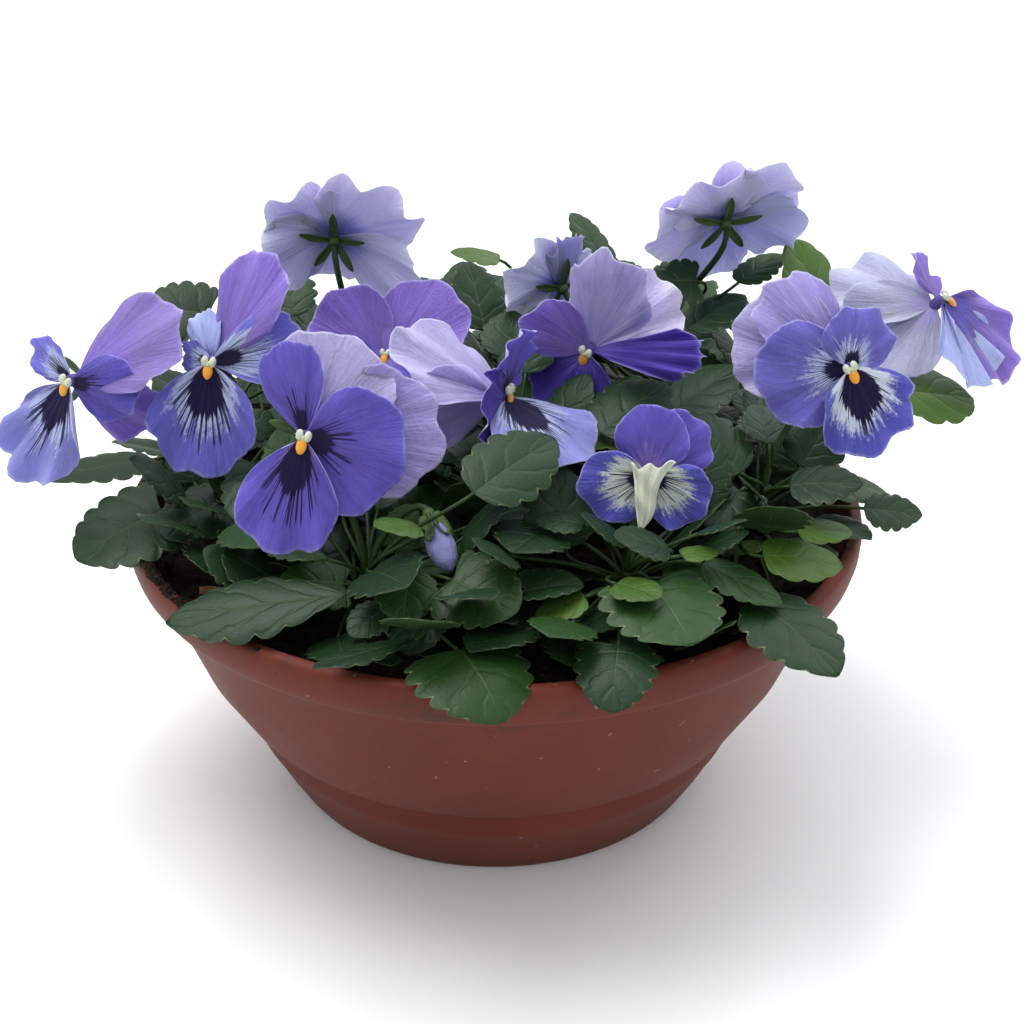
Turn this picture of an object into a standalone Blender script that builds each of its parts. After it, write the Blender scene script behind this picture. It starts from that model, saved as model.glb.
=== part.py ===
"""Potted pansy planter: a shallow round bowl planter with a collared rim and a stepped foot, filled with
compost and planted with ten leafy pansy shoots that carry twelve open blooms and one bud.

Frame: +Z up, origin on the bowl's axis at the surface it stands on, front of the planter towards -Y.
All shapes are worked out in millimetres and scaled to metres when a mesh is made.
"""

import math
import random
from collections import namedtuple

import bmesh
import bpy
import numpy as np
from mathutils.bvhtree import BVHTree

MM = 0.001

# ---------------------------------------------------------------- driving dimensions, in mm
RIM_RADIUS = 140.0
POT_HEIGHT = 117.0
WALL = 3.0
LIP = 5.5
WAIST_RADIUS = 98.5
WAIST_HIGH = 35.0
FOOT_RADIUS = 81.5
FLOOR_THICKNESS = 4.5
GROOVE_DEPTH = 2.5
GROOVE_INNER = 54.0
GROOVE_OUTER = 68.0
DRAIN_HOLES = 4
DRAIN_RADIUS = 4.0
POT_SIDES = 28

SOIL_GAP = 0.35
SOIL_EDGE_LEVEL = 103.5
SOIL_CENTRE_LEVEL = 109.0
STEM_FOOT_LEVEL = 90.0
STEM_HOLE_RADIUS = 3.4

LEAF_THICKNESS = 0.8
PETAL_THICKNESS = 0.8
STEM_RADIUS = 2.4
STALK_RADIUS = 1.2
PETIOLE_RADIUS = 1.0
STALK_FOOT_LEVEL = 113.0
STALK_FOOT_SPREAD = 6.0
CLEARANCE = 0.7
LARGE_LEAF = 35.0
SMALL_LEAF = 23.0
FILLER_TRIES = 46
FILLER_REACH = 112.0
FILLER_STALK = 42.0
FILLER_LEVEL = 118.0
FILLER_LENGTHS = (24, 38)
GOLDEN_ANGLE = 137.5
CROWN_LEVEL = 166.0
CROWN_FALL = 0.0030
CROWN_DEPTH = 18.0
MOST_BACKWARD = -0.1
STALK_WAYS = ((0, 12), (0, 18), (8, 12), (-8, 12), (14, 16), (-14, 16), (22, 18), (-22, 18), (0, 26),
              (34, 22), (-34, 22))

THROAT_RADIUS = 2.6
CALYX_DEPTH = 4.8
CLAW = 1.2
PETAL_LAYERS = (-3.0, -1.8, -0.6, 0.5, 1.5)


# ---------------------------------------------------------------- the bowl's section, as radius and height
OUTER_PROFILE = (
    (RIM_RADIUS - 1.6, POT_HEIGHT - 0.6), (RIM_RADIUS, POT_HEIGHT - 5),
    (RIM_RADIUS - 2.5, POT_HEIGHT - 14.5), (RIM_RADIUS - 9, POT_HEIGHT - 18),
    (125, 83), (116.5, 61), (104, 40), (WAIST_RADIUS, WAIST_HIGH),
    (WAIST_RADIUS - 1, 27), (WAIST_RADIUS - 2.5, 24.5), (FOOT_RADIUS + 3, 3), (FOOT_RADIUS, 0),
)
INNER_PROFILE = (
    (0, FLOOR_THICKNESS), (81, FLOOR_THICKNESS + 0.5), (93, 27), (WAIST_RADIUS - WALL - 0.5, WAIST_HIGH),
    (112.5, 61), (128, 98), (131.2, 103),
    (RIM_RADIUS - LIP, POT_HEIGHT - 2), (RIM_RADIUS - LIP + 1, POT_HEIGHT),
)
RIM_PROFILE = INNER_PROFILE[-4:] + OUTER_PROFILE[:5]

# ---------------------------------------------------------------- what grows in the bowl
Petal = namedtuple("Petal", "role turn length width lean roll bend cup wave waves phase")
Bloom = namedtuple("Bloom", "name shoot at azimuth elevation petals")
Bud = namedtuple("Bud", "name shoot at azimuth elevation length radius")
Leaf = namedtuple("Leaf", "shoot form base azimuth elevation length width tilt droop fold")
Shoot = namedtuple("Shoot", "name root top")
Form = namedtuple("Form", "blunt shift lobe teeth depth")

FORMS = {
    "round": Form(blunt=0.62, shift=0.80, lobe=0.95, teeth=7, depth=0.09),
    "oval": Form(blunt=0.70, shift=0.88, lobe=0.25, teeth=6, depth=0.09),
    "long": Form(blunt=0.75, shift=1.15, lobe=0.0, teeth=6, depth=0.11),
    "young": Form(blunt=0.60, shift=0.85, lobe=0.35, teeth=4, depth=0.07),
}


def petal(role, turn, length, width, lean=0, roll=0, bend=0, cup=0, wave=1.0, waves=3, phase=0):
    """A petal: turn is its direction round the face, anticlockwise from the right as its viewer sees it,
    lean its angle forward out of the face, roll its twist about its midline and bend its tip's curl."""
    return Petal(role, turn, length, width, lean, roll, bend, cup, wave, waves, phase)


def leaf(shoot, form, base, azimuth, elevation, length, width, tilt=0, droop=14, fold=8):
    """A leaf: base is where its stalk meets the blade, azimuth and elevation are where its midrib points."""
    return Leaf("shoot_" + shoot, form, base, azimuth, elevation, length, width, tilt, droop, fold)


BLOOMS = [
    Bloom("bloom_far_left", "shoot_left", (-150, -32, 177), -125, 8, [
        petal("upper", 58, 44, 40, lean=-32, roll=-26, bend=-8, wave=1.8, phase=1),
        petal("upper", -30, 34, 26, lean=-34, roll=-10, bend=-16, wave=2.5, phase=2),
        petal("lateral", 158, 22, 16, lean=4, roll=10, bend=-10),
        petal("lateral", -2, 27, 24, lean=-8, bend=-25, cup=-2, wave=1.6),
        petal("lower", 252, 40, 34, lean=12, bend=20, wave=3.2, waves=4, phase=1),
    ]),
    Bloom("bloom_left", "shoot_left", (-100, -32, 184), -98, 16, [
        petal("upper", 66, 44, 32, lean=-12, roll=-30, bend=10, wave=1.5, phase=2),
        petal("upper", 112, 20, 14, lean=-18, bend=-20),
        petal("lateral", 168, 14, 12, lean=-12, bend=-30),
        petal("lateral", 16, 35, 26, lean=-6, bend=-10, wave=1.5),
        petal("lower", 264, 40, 39, lean=4, bend=-8, wave=1.6, phase=2),
    ]),
    Bloom("bloom_front", "shoot_front_left", (-63, -78, 177), -94, 20, [
        petal("upper", 4, 46, 44, lean=-20, bend=8, phase=1),
        petal("upper", 66, 38, 42, lean=-14, bend=-5, wave=2, waves=4),
        petal("lateral", 104, 33, 23, lean=-4, bend=-8),
        petal("lateral", -16, 35, 42, lean=0, bend=-14, wave=1.2, phase=2),
        petal("lower", 257, 41, 34, lean=6, bend=-14, wave=1.6, waves=4, phase=1),
    ]),
    Bloom("bloom_centre_left", "shoot_back_left", (-41, 8, 169), -95, 42, [
        petal("upper", 146, 33, 34, lean=10, bend=22, cup=3),
        petal("upper", 44, 36, 36, lean=4, bend=10, cup=2, phase=2),
        petal("lateral", 200, 22, 22, lean=14, bend=15),
        petal("lateral", -20, 22, 22, lean=12, bend=10),
        petal("lower", 265, 22, 24, lean=20, bend=10),
    ]),
    Bloom("bloom_centre", "shoot_centre", (3, -36, 172), -20, 6, [
        petal("upper", 188, 36, 34, lean=-55, roll=-8, bend=-6, wave=2.2, phase=2),
        petal("upper", 102, 43, 40, lean=-45, roll=8, bend=-8, wave=2.2, waves=4, phase=1),
        petal("lateral", 64, 26, 24, lean=16, bend=6, wave=1.8, waves=5),
        petal("lateral", 186, 24, 32, lean=4, bend=-6, wave=2, waves=5),
        petal("lower", 266, 38, 40, lean=66, roll=26, bend=-8, wave=1.8, phase=1),
    ]),
    Bloom("bloom_centre_right", "shoot_back_right", (35, 0, 175), -125, -4, [
        petal("upper", 46, 38, 32, lean=-26, bend=-4, wave=2, waves=4),
        petal("upper", 72, 40, 34, lean=-8, roll=8, bend=12, wave=2, waves=4, phase=1),
        petal("lateral", 9, 52, 25, lean=6, roll=-48, bend=-4, wave=2.8, waves=5),
        petal("lateral", 150, 28, 24, lean=20, roll=20, bend=24),
        petal("lower", 252, 30, 34, lean=16, bend=14, wave=1.5),
    ]),
    Bloom("bloom_right", "shoot_right", (125, -32, 182), -82, 12, [
        petal("upper", 160, 43, 40, lean=-20, bend=-6, wave=1.8, waves=5),
        petal("upper", 132, 41, 30, lean=-14, bend=-6, wave=1.5, phase=1),
        petal("lateral", 190, 33, 38, lean=-4, bend=-12, wave=1.4, waves=4, phase=2),
        petal("lateral", 70, 22, 26, lean=-3, bend=-16, wave=1.8, waves=5),
        petal("lower", 294, 33, 34, lean=7, bend=-10, wave=2.2, waves=5, phase=1),
    ]),
    Bloom("bloom_small_front", "shoot_front_right", (52, -74, 161), -92, 10, [
        petal("upper", 40, 26, 24, lean=-14, bend=-10, wave=1.5, waves=4),
        petal("upper", 84, 23, 25, lean=-6, bend=-6, wave=1.5, phase=1),
        petal("lateral", -36, 25, 23, lean=0, bend=-14, phase=2),
        petal("lateral", 202, 24, 26, lean=3, bend=-14),
        petal("lower", 262, 21, 10, lean=22, bend=-24, cup=3.0, wave=0.4),
    ]),
    Bloom("bloom_far_right", "shoot_far_right", (166, 12, 190), -10, 44, [
        petal("upper", 96, 40, 38, lean=-42, roll=-24, bend=-6, wave=2.2, waves=4),
        petal("upper", 150, 38, 40, lean=-52, bend=-6, wave=2.2, waves=4, phase=1),
        petal("lateral", 48, 22, 18, lean=4, bend=8, wave=2.2),
        petal("lateral", 254, 37, 32, lean=-4, roll=24, bend=-8, wave=2.2, waves=4),
        petal("lower", 283, 42, 36, lean=6, roll=28, bend=-6, wave=2.4, waves=4, phase=2),
    ]),
    Bloom("bloom_top_left", "shoot_back_left", (-62, 52, 203), 92, 20, [
        petal("upper", 202, 41, 30, lean=-18, bend=-32, wave=2.5),
        petal("upper", 132, 39, 40, lean=-12, bend=-12, wave=3.2, waves=4, phase=1),
        petal("lateral", 46, 31, 34, lean=-8, bend=-14, wave=2.8, waves=4),
        petal("lateral", -12, 33, 34, lean=-16, bend=-30, wave=2.4),
        petal("lower", 292, 28, 32, lean=0, bend=10, wave=2.4),
    ]),
    Bloom("bloom_top_right", "shoot_back_right", (88, 50, 211), 98, 24, [
        petal("upper", 66, 32, 38, lean=-8, bend=-22, wave=3.2, waves=4),
        petal("upper", 122, 34, 38, lean=-4, bend=-16, wave=3.2, waves=4, phase=1),
        petal("lateral", 178, 32, 30, lean=-10, bend=-26, wave=2.6),
        petal("lateral", -6, 32, 32, lean=-6, bend=-30, wave=2.4),
        petal("lower", 276, 31, 30, lean=0, bend=-20, wave=2.2),
    ]),
    Bloom("bloom_back", "shoot_back", (24, 58, 180), 120, 10, [
        petal("upper", 86, 26, 17, lean=-8, bend=-10, wave=1.5),
        petal("upper", 26, 32, 33, lean=-10, bend=-10, wave=2.4, phase=1),
        petal("lateral", 166, 20, 20, lean=-4, bend=10, wave=1.5),
        petal("lateral", -24, 28, 26, lean=-6, bend=-20, wave=2),
        petal("lower", 268, 21, 22, lean=8, bend=-16, wave=1.5),
    ]),
]

BUDS = [Bud("bud_front", "shoot_front_left", (-20, -86, 146), -62, -42, 15, 5.0)]

SHOOTS = [
    Shoot("shoot_left", (-88, -34), (-104, -30, 140)),
    Shoot("shoot_front_left", (-48, -78), (-42, -84, 130)),
    Shoot("shoot_centre", (4, -20), (8, -14, 142)),
    Shoot("shoot_front_right", (44, -76), (46, -82, 128)),
    Shoot("shoot_right", (92, -28), (100, -30, 134)),
    Shoot("shoot_far_right", (98, 34), (114, 32, 142)),
    Shoot("shoot_back_right", (62, 62), (70, 64, 150)),
    Shoot("shoot_back", (8, 66), (10, 70, 146)),
    Shoot("shoot_back_left", (-52, 50), (-56, 50, 148)),
    Shoot("shoot_far_left", (-92, 32), (-104, 30, 136)),
]

LEAVES = [
    leaf("front_left", "long", (-49, -103, 131), 182, -6, 62, 28, tilt=-20, droop=8, fold=4),
    leaf("left", "round", (-122, -34, 126), -145, -16, 36, 42, tilt=-12, droop=12),
    leaf("far_left", "oval", (-131, 0, 130), -150, 8, 40, 26),
    leaf("left", "round", (-101, -36, 130), -147, -16, 24, 30),
    leaf("left", "round", (-84, -38, 146), -107, -22, 26, 26, droop=10),
    leaf("front_left", "long", (-56, -90, 137), 157, 6, 26, 14),
    leaf("front_left", "young", (-25, -94, 145), -178, 5, 19, 18),
    leaf("front_left", "oval", (-28, -99, 138), -97, -30, 20, 22),
    leaf("front_left", "oval", (-36, -106, 128), -140, -20, 16, 16),
    leaf("front_left", "oval", (-24, -106, 128), -105, -26, 18, 21),
    leaf("front_left", "long", (-26, -120, 124), -160, 2, 36, 16, tilt=10, droop=4),
    leaf("front_left", "round", (-12, -126, 124), -62, 0, 33, 42, droop=50, fold=0),
    leaf("front_left", "round", (-14, -104, 137), -35, -8, 26, 32, tilt=10),
    leaf("front_left", "round", (10, -103, 140), 16, 5, 22, 22, fold=22),
    leaf("front_right", "young", (30, -103, 134), -165, -12, 18, 18),
    leaf("front_right", "young", (40, -108, 138), -35, 8, 17, 17),
    leaf("front_left", "oval", (-7, -88, 149), 40, 18, 44, 34, tilt=12),
    leaf("front_right", "oval", (24, -80, 144), 100, 52, 32, 28, droop=6),
    leaf("front_right", "round", (52, -104, 136), -68, -16, 30, 43, droop=8, fold=4),
    leaf("front_right", "round", (40, -124, 120), -98, -2, 26, 28, droop=44, fold=2),
    leaf("front_right", "oval", (70, -90, 135), -22, -12, 30, 22),
    leaf("right", "young", (92, -81, 131), 10, -8, 28, 24, tilt=10),
    leaf("right", "oval", (105, -60, 125), 15, -8, 19, 18),
    leaf("right", "oval", (88, -94, 124), -50, -10, 40, 36, droop=16),
    leaf("right", "oval", (134, -40, 130), -8, -2, 21, 20, tilt=18, droop=4),
    leaf("right", "round", (122, -24, 132), 14, -8, 26, 28),
    leaf("right", "oval", (89, -37, 143), 140, 30, 34, 32, tilt=-12),
    leaf("right", "round", (88, -44, 139), -125, -12, 22, 24, tilt=-10),
    leaf("right", "long", (101, -14, 146), 100, 34, 26, 12, fold=18),
    leaf("right", "oval", (112, -22, 136), 96, 34, 26, 24),
    leaf("right", "oval", (106, -42, 140), -12, 14, 26, 24, tilt=12),
    leaf("right", "young", (108, -54, 128), 5, 4, 20, 19),
    leaf("right", "young", (96, -52, 130), -160, 0, 14, 10),
    leaf("front_right", "oval", (88, -82, 136), 152, 10, 28, 24, tilt=-14),
    leaf("front_right", "young", (62, -98, 143), 15, 5, 13, 11),
    leaf("front_right", "oval", (58, -94, 135), 165, 5, 26, 22, tilt=-12),
    leaf("far_right", "young", (148, -12, 170), -2, 6, 42, 34, tilt=26, droop=8),
    leaf("far_right", "young", (131, 42, 177), 140, 54, 33, 36, droop=6),
    leaf("back_right", "round", (78, 40, 199), -170, 6, 22, 26, tilt=-34),
    leaf("back", "young", (2, 72, 184), 175, 15, 20, 18),
    leaf("back", "long", (-11, 60, 182), -155, -8, 30, 14),
    leaf("centre", "oval", (-4, 34, 169), 98, 50, 30, 26),
    leaf("centre", "oval", (14, 4, 152), 84, 52, 30, 30),
    leaf("centre", "round", (-16, -10, 140), 170, 24, 34, 34, tilt=-24),
    leaf("centre", "oval", (-30, -36, 134), -160, 14, 34, 30, tilt=-20),
    leaf("back_right", "oval", (75, 30, 171), 30, 26, 28, 26),
    leaf("back_right", "oval", (95, 44, 181), 30, 28, 22, 20),
    leaf("right", "oval", (66, -6, 152), 24, 26, 32, 28, tilt=8),
    leaf("centre", "oval", (38, -32, 156), 38, 26, 34, 34, tilt=8),
    leaf("far_left", "round", (-112, 44, 172), -172, 12, 26, 30, tilt=-36),
    leaf("left", "oval", (-100, -22, 134), -122, -10, 32, 30, tilt=-10),
    leaf("far_left", "oval", (-113, 10, 143), 150, 44, 26, 24),
    leaf("far_right", "young", (148, 6, 142), 20, 34, 18, 14),
]


# ---------------------------------------------------------------- directions and curves
def unit(vector):
    return np.asarray(vector, float) / np.linalg.norm(vector)


def direction(azimuth, elevation):
    """The unit vector at this azimuth, anticlockwise from +X seen from above, and elevation, in degrees."""
    turn, rise = math.radians(azimuth), math.radians(elevation)
    return np.array([math.cos(rise) * math.cos(turn), math.cos(rise) * math.sin(turn), math.sin(rise)])


def turned(vector, axis, degrees):
    """vector turned about a unit axis."""
    angle = math.radians(degrees)
    spin = np.cross(axis, vector) * math.sin(angle)
    return vector * math.cos(angle) + spin + axis * np.dot(axis, vector) * (1 - math.cos(angle))


def axes_facing(azimuth, elevation):
    """Right, up and out of a face, as the viewer that it looks at sees them."""
    out = direction(azimuth, elevation)
    right = unit(np.cross([0, 0, 1], out))
    return right, np.cross(out, right), out


def curved(start, leave, arrive, end, count):
    """Points on a smooth curve from start to end that leaves along one vector and arrives along another."""
    start, end = np.asarray(start, float), np.asarray(end, float)
    first, second = start + leave, end - arrive
    t = np.linspace(0, 1, count)[:, None]
    s = 1 - t
    return s**3 * start + 3 * s**2 * t * first + 3 * s * t**2 * second + t**3 * end


def bent(along, across, length, degrees):
    """Along and out-of-plane places of points on a strip whose tip has turned by this many degrees."""
    if abs(degrees) < 0.5:
        return along, across
    curl = math.radians(degrees) / length
    lift = np.sin(curl * along)
    return lift / curl - across * lift, (1 - np.cos(curl * along)) / curl + across * np.cos(curl * along)


# ---------------------------------------------------------------- petals
def petal_points(bloom, spec, rho, phi):
    """Points of a petal at rho, 0 at its claw to 1 at its edge, and phi, -1 to 1 from side to side."""
    right, up, out = axes_facing(bloom.azimuth, bloom.elevation)
    along = right * math.cos(math.radians(spec.turn)) + up * math.sin(math.radians(spec.turn))
    side = turned(np.cross(along, out), along, spec.roll)
    normal = turned(out, along, spec.roll)
    along, normal = turned(along, side, spec.lean), turned(normal, side, spec.lean)
    spread = math.radians(min(86, 85 * (spec.width / spec.length - 0.255)))
    edge = spec.length * np.cos(phi * math.radians(88.6)) ** 0.4
    radius = CLAW + (edge - CLAW) * rho
    x, y = radius * np.sin(phi * spread), radius * np.cos(phi * spread)
    z = spec.cup * (2 * x / spec.width) ** 2 * rho
    z = z + spec.wave * rho**3 * np.sin(spec.waves * math.pi * phi + spec.phase)
    y, z = bent(y, z, spec.length, spec.bend)
    centre = np.array(bloom.at) + out * PETAL_LAYERS[bloom.petals.index(spec)]
    return centre + x[..., None] * side + y[..., None] * along + z[..., None] * normal


def petal_sheet(bloom, spec, rows=((0, 2), (0.55, 4), (1, 7))):
    """A petal's open sheet, in rows from its claw outwards, each with its own number of points."""
    points, faces, inner = [], [], None
    for rho, count in rows:
        outer = range(len(points), len(points) + count)
        phi = np.linspace(-1, 1, count)
        points.extend(petal_points(bloom, spec, np.full(count, float(rho)), phi))
        if inner:
            faces += stitched(inner, outer)
        inner = outer
    return np.array(points), faces


def stitched(near, far):
    """Triangles between two rows of points that run side by side."""
    near, far = list(near), list(far)
    near_steps, far_steps = len(near) - 1, len(far) - 1
    faces, i, j = [], 0, 0
    while i < near_steps or j < far_steps:
        if i == near_steps or (j < far_steps and (j + 0.5) / far_steps <= (i + 0.5) / near_steps):
            faces.append((near[i], far[j], far[j + 1]))
            j += 1
        else:
            faces.append((near[i], far[j], near[i + 1]))
            i += 1
    return faces


# ---------------------------------------------------------------- leaves
def leaf_axes(spec):
    """Across, along and out of a blade, at its base."""
    along = direction(spec.azimuth, spec.elevation)
    flat = turned(unit(np.cross(along, [0, 0, 1])), along, spec.tilt)
    return flat, along, np.cross(flat, along)


def leaf_points(spec, side, across, edge, teeth, depth):
    """Points of a blade at edge, 0 at its base to 1 at its tip, and across, 0 on the midrib to 1 on the rim.
    side is 1 for the right half and -1 for the left."""
    form = FORMS[spec.form]
    notch = 1 - np.abs(np.sin(teeth * math.pi * edge)) ** 0.6
    scallop = 1 - depth * notch * np.sin(math.pi * edge) ** 0.3
    rim_x = 0.5 * spec.width * np.sin(math.pi * edge**form.shift) ** form.blunt * scallop
    lobe = form.lobe * spec.length * np.sin(math.pi * edge) * (1 - edge) ** 3
    rim_y = spec.length * edge - lobe
    mid_y = spec.length * edge**1.15
    x, y = side * rim_x * across, mid_y + (rim_y - mid_y) * across
    z = np.abs(x) * math.tan(math.radians(spec.fold)) - 0.10 * spec.width * (2 * x / spec.width) ** 2
    y, z = bent(y, z, spec.length, -spec.droop)
    flat, along, normal = leaf_axes(spec)
    return np.array(spec.base) + x[..., None] * flat + y[..., None] * along + z[..., None] * normal


def leaf_sheet(spec, stalk=()):
    """A blade's open sheet, folded on the midrib and scalloped, with its stalk as a strip if given."""
    form = FORMS[spec.form]
    teeth = 2 + (spec.length > SMALL_LEAF) + (spec.length > LARGE_LEAF)
    flat = leaf_axes(spec)[0]
    places = [spec.base, spec.base, *leaf_points(spec, 1, np.zeros(2), np.array([0.5, 1.0]), teeth, 0)]
    points = list(np.array(places) + np.outer([PETIOLE_RADIUS, -PETIOLE_RADIUS, 0, 0], flat))
    faces = [(0, 2, 1)]
    rim = np.arange(1, 2 * teeth) / (2 * teeth)
    for side, root in ((1, 0), (-1, 1)):
        far = [root, *range(len(points), len(points) + len(rim)), 3]
        points.extend(leaf_points(spec, side, np.ones(rim.shape), rim, teeth, 2 * form.depth))
        strip = [face for face in stitched([root, 2, 3], far) if len(set(face)) == 3]
        faces += [face[::side] for face in strip]
    outer = (0, 1)
    for place, before in zip(stalk[-2::-1], stalk[:0:-1]):
        ahead = unit(before - place)
        level = flat - ahead * np.dot(flat, ahead)
        across = PETIOLE_RADIUS * unit(level + 0.01 * np.cross(ahead, [0, 0, 1]))
        inner = (len(points), len(points) + 1)
        points += [place + across, place - across]
        faces += [(inner[0], outer[0], inner[1]), (inner[1], outer[0], outer[1])]
        outer = inner
    return np.array(points), faces


# ---------------------------------------------------------------- stems, stalks and calyxes
def stem_path(shoot):
    """A stem's middle line: upright in its hole in the compost, then leaning out to its top."""
    foot, mouth = (*shoot.root, STEM_FOOT_LEVEL), (*shoot.root, SOIL_CENTRE_LEVEL + 3)
    arrive = np.array([0, 0, 5]) + 5 * unit(np.subtract(shoot.top, mouth))
    rise = curved(mouth, np.array([0, 0, 8]), arrive, shoot.top, 5)
    return np.concatenate([[foot], rise])


def leaf_stalk_path(shoot, spec):
    """A leaf's stalk, from as high on the stem as lets it rise to the blade."""
    stem = stem_path(shoot)
    base = np.array(spec.base, float)
    reach = np.linalg.norm(base[:2] - stem[-1][:2])
    low = STALK_FOOT_LEVEL + abs(7 * base[0] + 3 * base[1]) % STALK_FOOT_SPREAD
    level = min(max(base[2] - 4 - 0.5 * reach, low), stem[-1][2] - 0.4)
    start = np.array([np.interp(level, stem[:, 2], stem[:, axis]) for axis in range(3)])
    start += 0.6 * direction(spec.azimuth, 0)
    span = np.linalg.norm(base - start)
    leave = 0.35 * span * unit(unit(base - start) + (0, 0, 0.8))
    return curved(start, leave, 0.3 * span * direction(spec.azimuth, spec.elevation), base, 3)


def calyx_depth(flower):
    """How far behind a flower's centre its calyx begins: farther where petals are swept back."""
    swept = -min((each.lean for each in getattr(flower, "petals", ())), default=0)
    return CALYX_DEPTH + 0.1 * max(0, swept - 30)


def flower_stalk_path(shoot, flower, sideways=0.0, hook=12.0):
    """A flower's stalk: it rises from the top of the stem and bends over to meet the flower's back."""
    right, _, out = axes_facing(flower.azimuth, flower.elevation)
    start = stem_path(shoot)[-2] + 0.6 * unit(np.subtract(flower.at, shoot.top) * (1, 1, 0))
    end = np.array(flower.at) - out * (calyx_depth(flower) + 2.2)
    span = np.linalg.norm(end - start)
    leave = np.array([0, 0, 0.5 * span]) + right * sideways
    return curved(start, leave, out * hook + (0, 0, 0.12 * span), end, 6)


def sepal_sheet(flower, turn, lean, length=12.0, width=4.4, ring=2.0):
    """A sepal's open sheet: a narrow pointed blade that springs from the calyx."""
    right, up, out = axes_facing(flower.azimuth, flower.elevation)
    ray = right * math.cos(math.radians(turn)) + up * math.sin(math.radians(turn))
    side = np.cross(ray, out)
    along = turned(ray, side, lean)
    root = np.array(flower.at) - out * (calyx_depth(flower) + 0.8) + ray * ring
    stations = ((0.0, 0.27), (0.45, 0.5))
    points = [root + along * length * t + side * width * w * s for t, w in stations for s in (-1, 1)]
    points.append(root + along * length)
    return np.array(points), [(0, 2, 1), (1, 2, 3), (2, 4, 3)]


# ---------------------------------------------------------------- clearances between the pieces
Grown = namedtuple("Grown", "owner kind low high tree")
JOINED = ("stem", "stalk", "calyx")


def thickened(points, faces, half):
    """The closed solid, as points and triangles, of an open sheet given this half thickness."""
    count = len(points)
    normals = np.zeros_like(points)
    edges = set()
    for a, b, c in faces:
        normals[[a, b, c]] += np.cross(points[b] - points[a], points[c] - points[a])
        for edge in ((a, b), (b, c), (c, a)):
            edges.symmetric_difference_update({edge} if edge[::-1] not in edges else {edge[::-1]})
    normals /= np.maximum(np.linalg.norm(normals, axis=1), 1e-9)[:, None]
    solid = np.concatenate([points + normals * half, points - normals * half])
    sides = [(a, b + count, b) for a, b in edges] + [(a, a + count, b + count) for a, b in edges]
    return solid, list(faces) + [(a + count, c + count, b + count) for a, b, c in faces] + sides


def tube(path, radius, sides=4):
    """A tube round a path, as points and triangles."""
    rings, faces = [], []
    for index, point in enumerate(path):
        ahead = unit(path[min(index + 1, len(path) - 1)] - path[max(index - 1, 0)])
        side = unit(np.cross(ahead, [0.3, 0.2, 1.0]))
        rings += [point + radius * turned(side, ahead, 360 * k / sides) for k in range(sides)]
    for ring in range(len(path) - 1):
        for k in range(sides):
            a, b = ring * sides + k, ring * sides + (k + 1) % sides
            faces += [(a, b, a + sides), (b, b + sides, a + sides)]
    for start in (0, len(rings) - sides):
        faces += [(start, start + k, start + k + 1) for k in range(1, sides - 1)]
    return np.array(rings), faces


class Garden:
    """All that has grown so far, for finding room for the next piece."""

    def __init__(self):
        self.grown = []

    def has_room(self, owner, kind, solid, faces):
        tree = BVHTree.FromPolygons(solid.tolist(), faces)
        low, high = solid.min(axis=0), solid.max(axis=0)
        for other in self.grown:
            woody = {kind, other.kind} <= set(JOINED)
            joined = woody or kind == "stalk end" or kind == other.kind == "petal"
            if other.owner == owner and joined:
                continue
            if np.any(other.low > high) or np.any(other.high < low):
                continue
            if tree.overlap(other.tree):
                return False
        return True

    def add(self, owner, kind, solid, faces):
        tree = BVHTree.FromPolygons(solid.tolist(), faces)
        self.grown.append(Grown(owner, kind, solid.min(axis=0), solid.max(axis=0), tree))

    def sheet_fits(self, owner, kind, sheet, thickness):
        return self.has_room(owner, kind, *thickened(*sheet, thickness / 2 + CLEARANCE))

    def tube_fits(self, owner, path, radius, kind="stalk"):
        return self.has_room(owner, kind, *tube(path, radius + CLEARANCE))


def turned_surface(profile, sides=48):
    """The surface that a profile of radii and heights sweeps, as points and triangles."""
    points, faces = [], []
    for k in range(sides):
        angle = 2 * math.pi * k / sides
        points += [(r * math.cos(angle), r * math.sin(angle), z) for r, z in profile]
    count = len(profile)
    for k in range(sides):
        after = (k + 1) % sides
        for i in range(count - 1):
            a, b = k * count + i, after * count + i
            faces += [(a, b, a + 1), (b, b + 1, a + 1)]
    return np.array(points), faces


# ---------------------------------------------------------------- growing the plants
NUDGES = ((0, 6, 0), (0, 0, 4), (8, 0, 0), (-8, 0, 0), (0, -6, 0), (0, 0, -4),
          (8, 6, 2), (-8, 6, 2), (8, -6, -2), (-8, -6, -2))


def nudges():
    """Small changes of azimuth, elevation, tilt, place and size, the smallest first."""
    yield 0, 0, 0, 0, 1.0
    for size in (1, 2, 3, 4):
        for azimuth, elevation, lift in NUDGES:
            for tilt in (0, 12, -12):
                yield size * azimuth, size * elevation, tilt, size * lift, 1.0 - 0.06 * (size - 1)


def settled_leaf(garden, shoot, spec):
    """The leaf bent clear of all that has grown, with its stalk, or None where it finds no room."""
    for azimuth, elevation, tilt, lift, size in nudges():
        x, y, z = spec.base
        trial = spec._replace(base=(x, y, z + lift), azimuth=spec.azimuth + azimuth, tilt=spec.tilt + tilt,
                              elevation=spec.elevation + elevation, length=spec.length * size,
                              width=spec.width * size)
        path = leaf_stalk_path(shoot, trial)
        if np.dot(unit(path[2] - path[0]), direction(trial.azimuth, trial.elevation)) < MOST_BACKWARD:
            continue
        if not garden.sheet_fits(shoot.name, "blade", leaf_sheet(trial), LEAF_THICKNESS):
            continue
        if not garden.tube_fits(shoot.name, path[:-1], PETIOLE_RADIUS):
            continue
        if garden.tube_fits(shoot.name, path[1:], PETIOLE_RADIUS, "stalk end"):
            return trial, path
    return None


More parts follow.
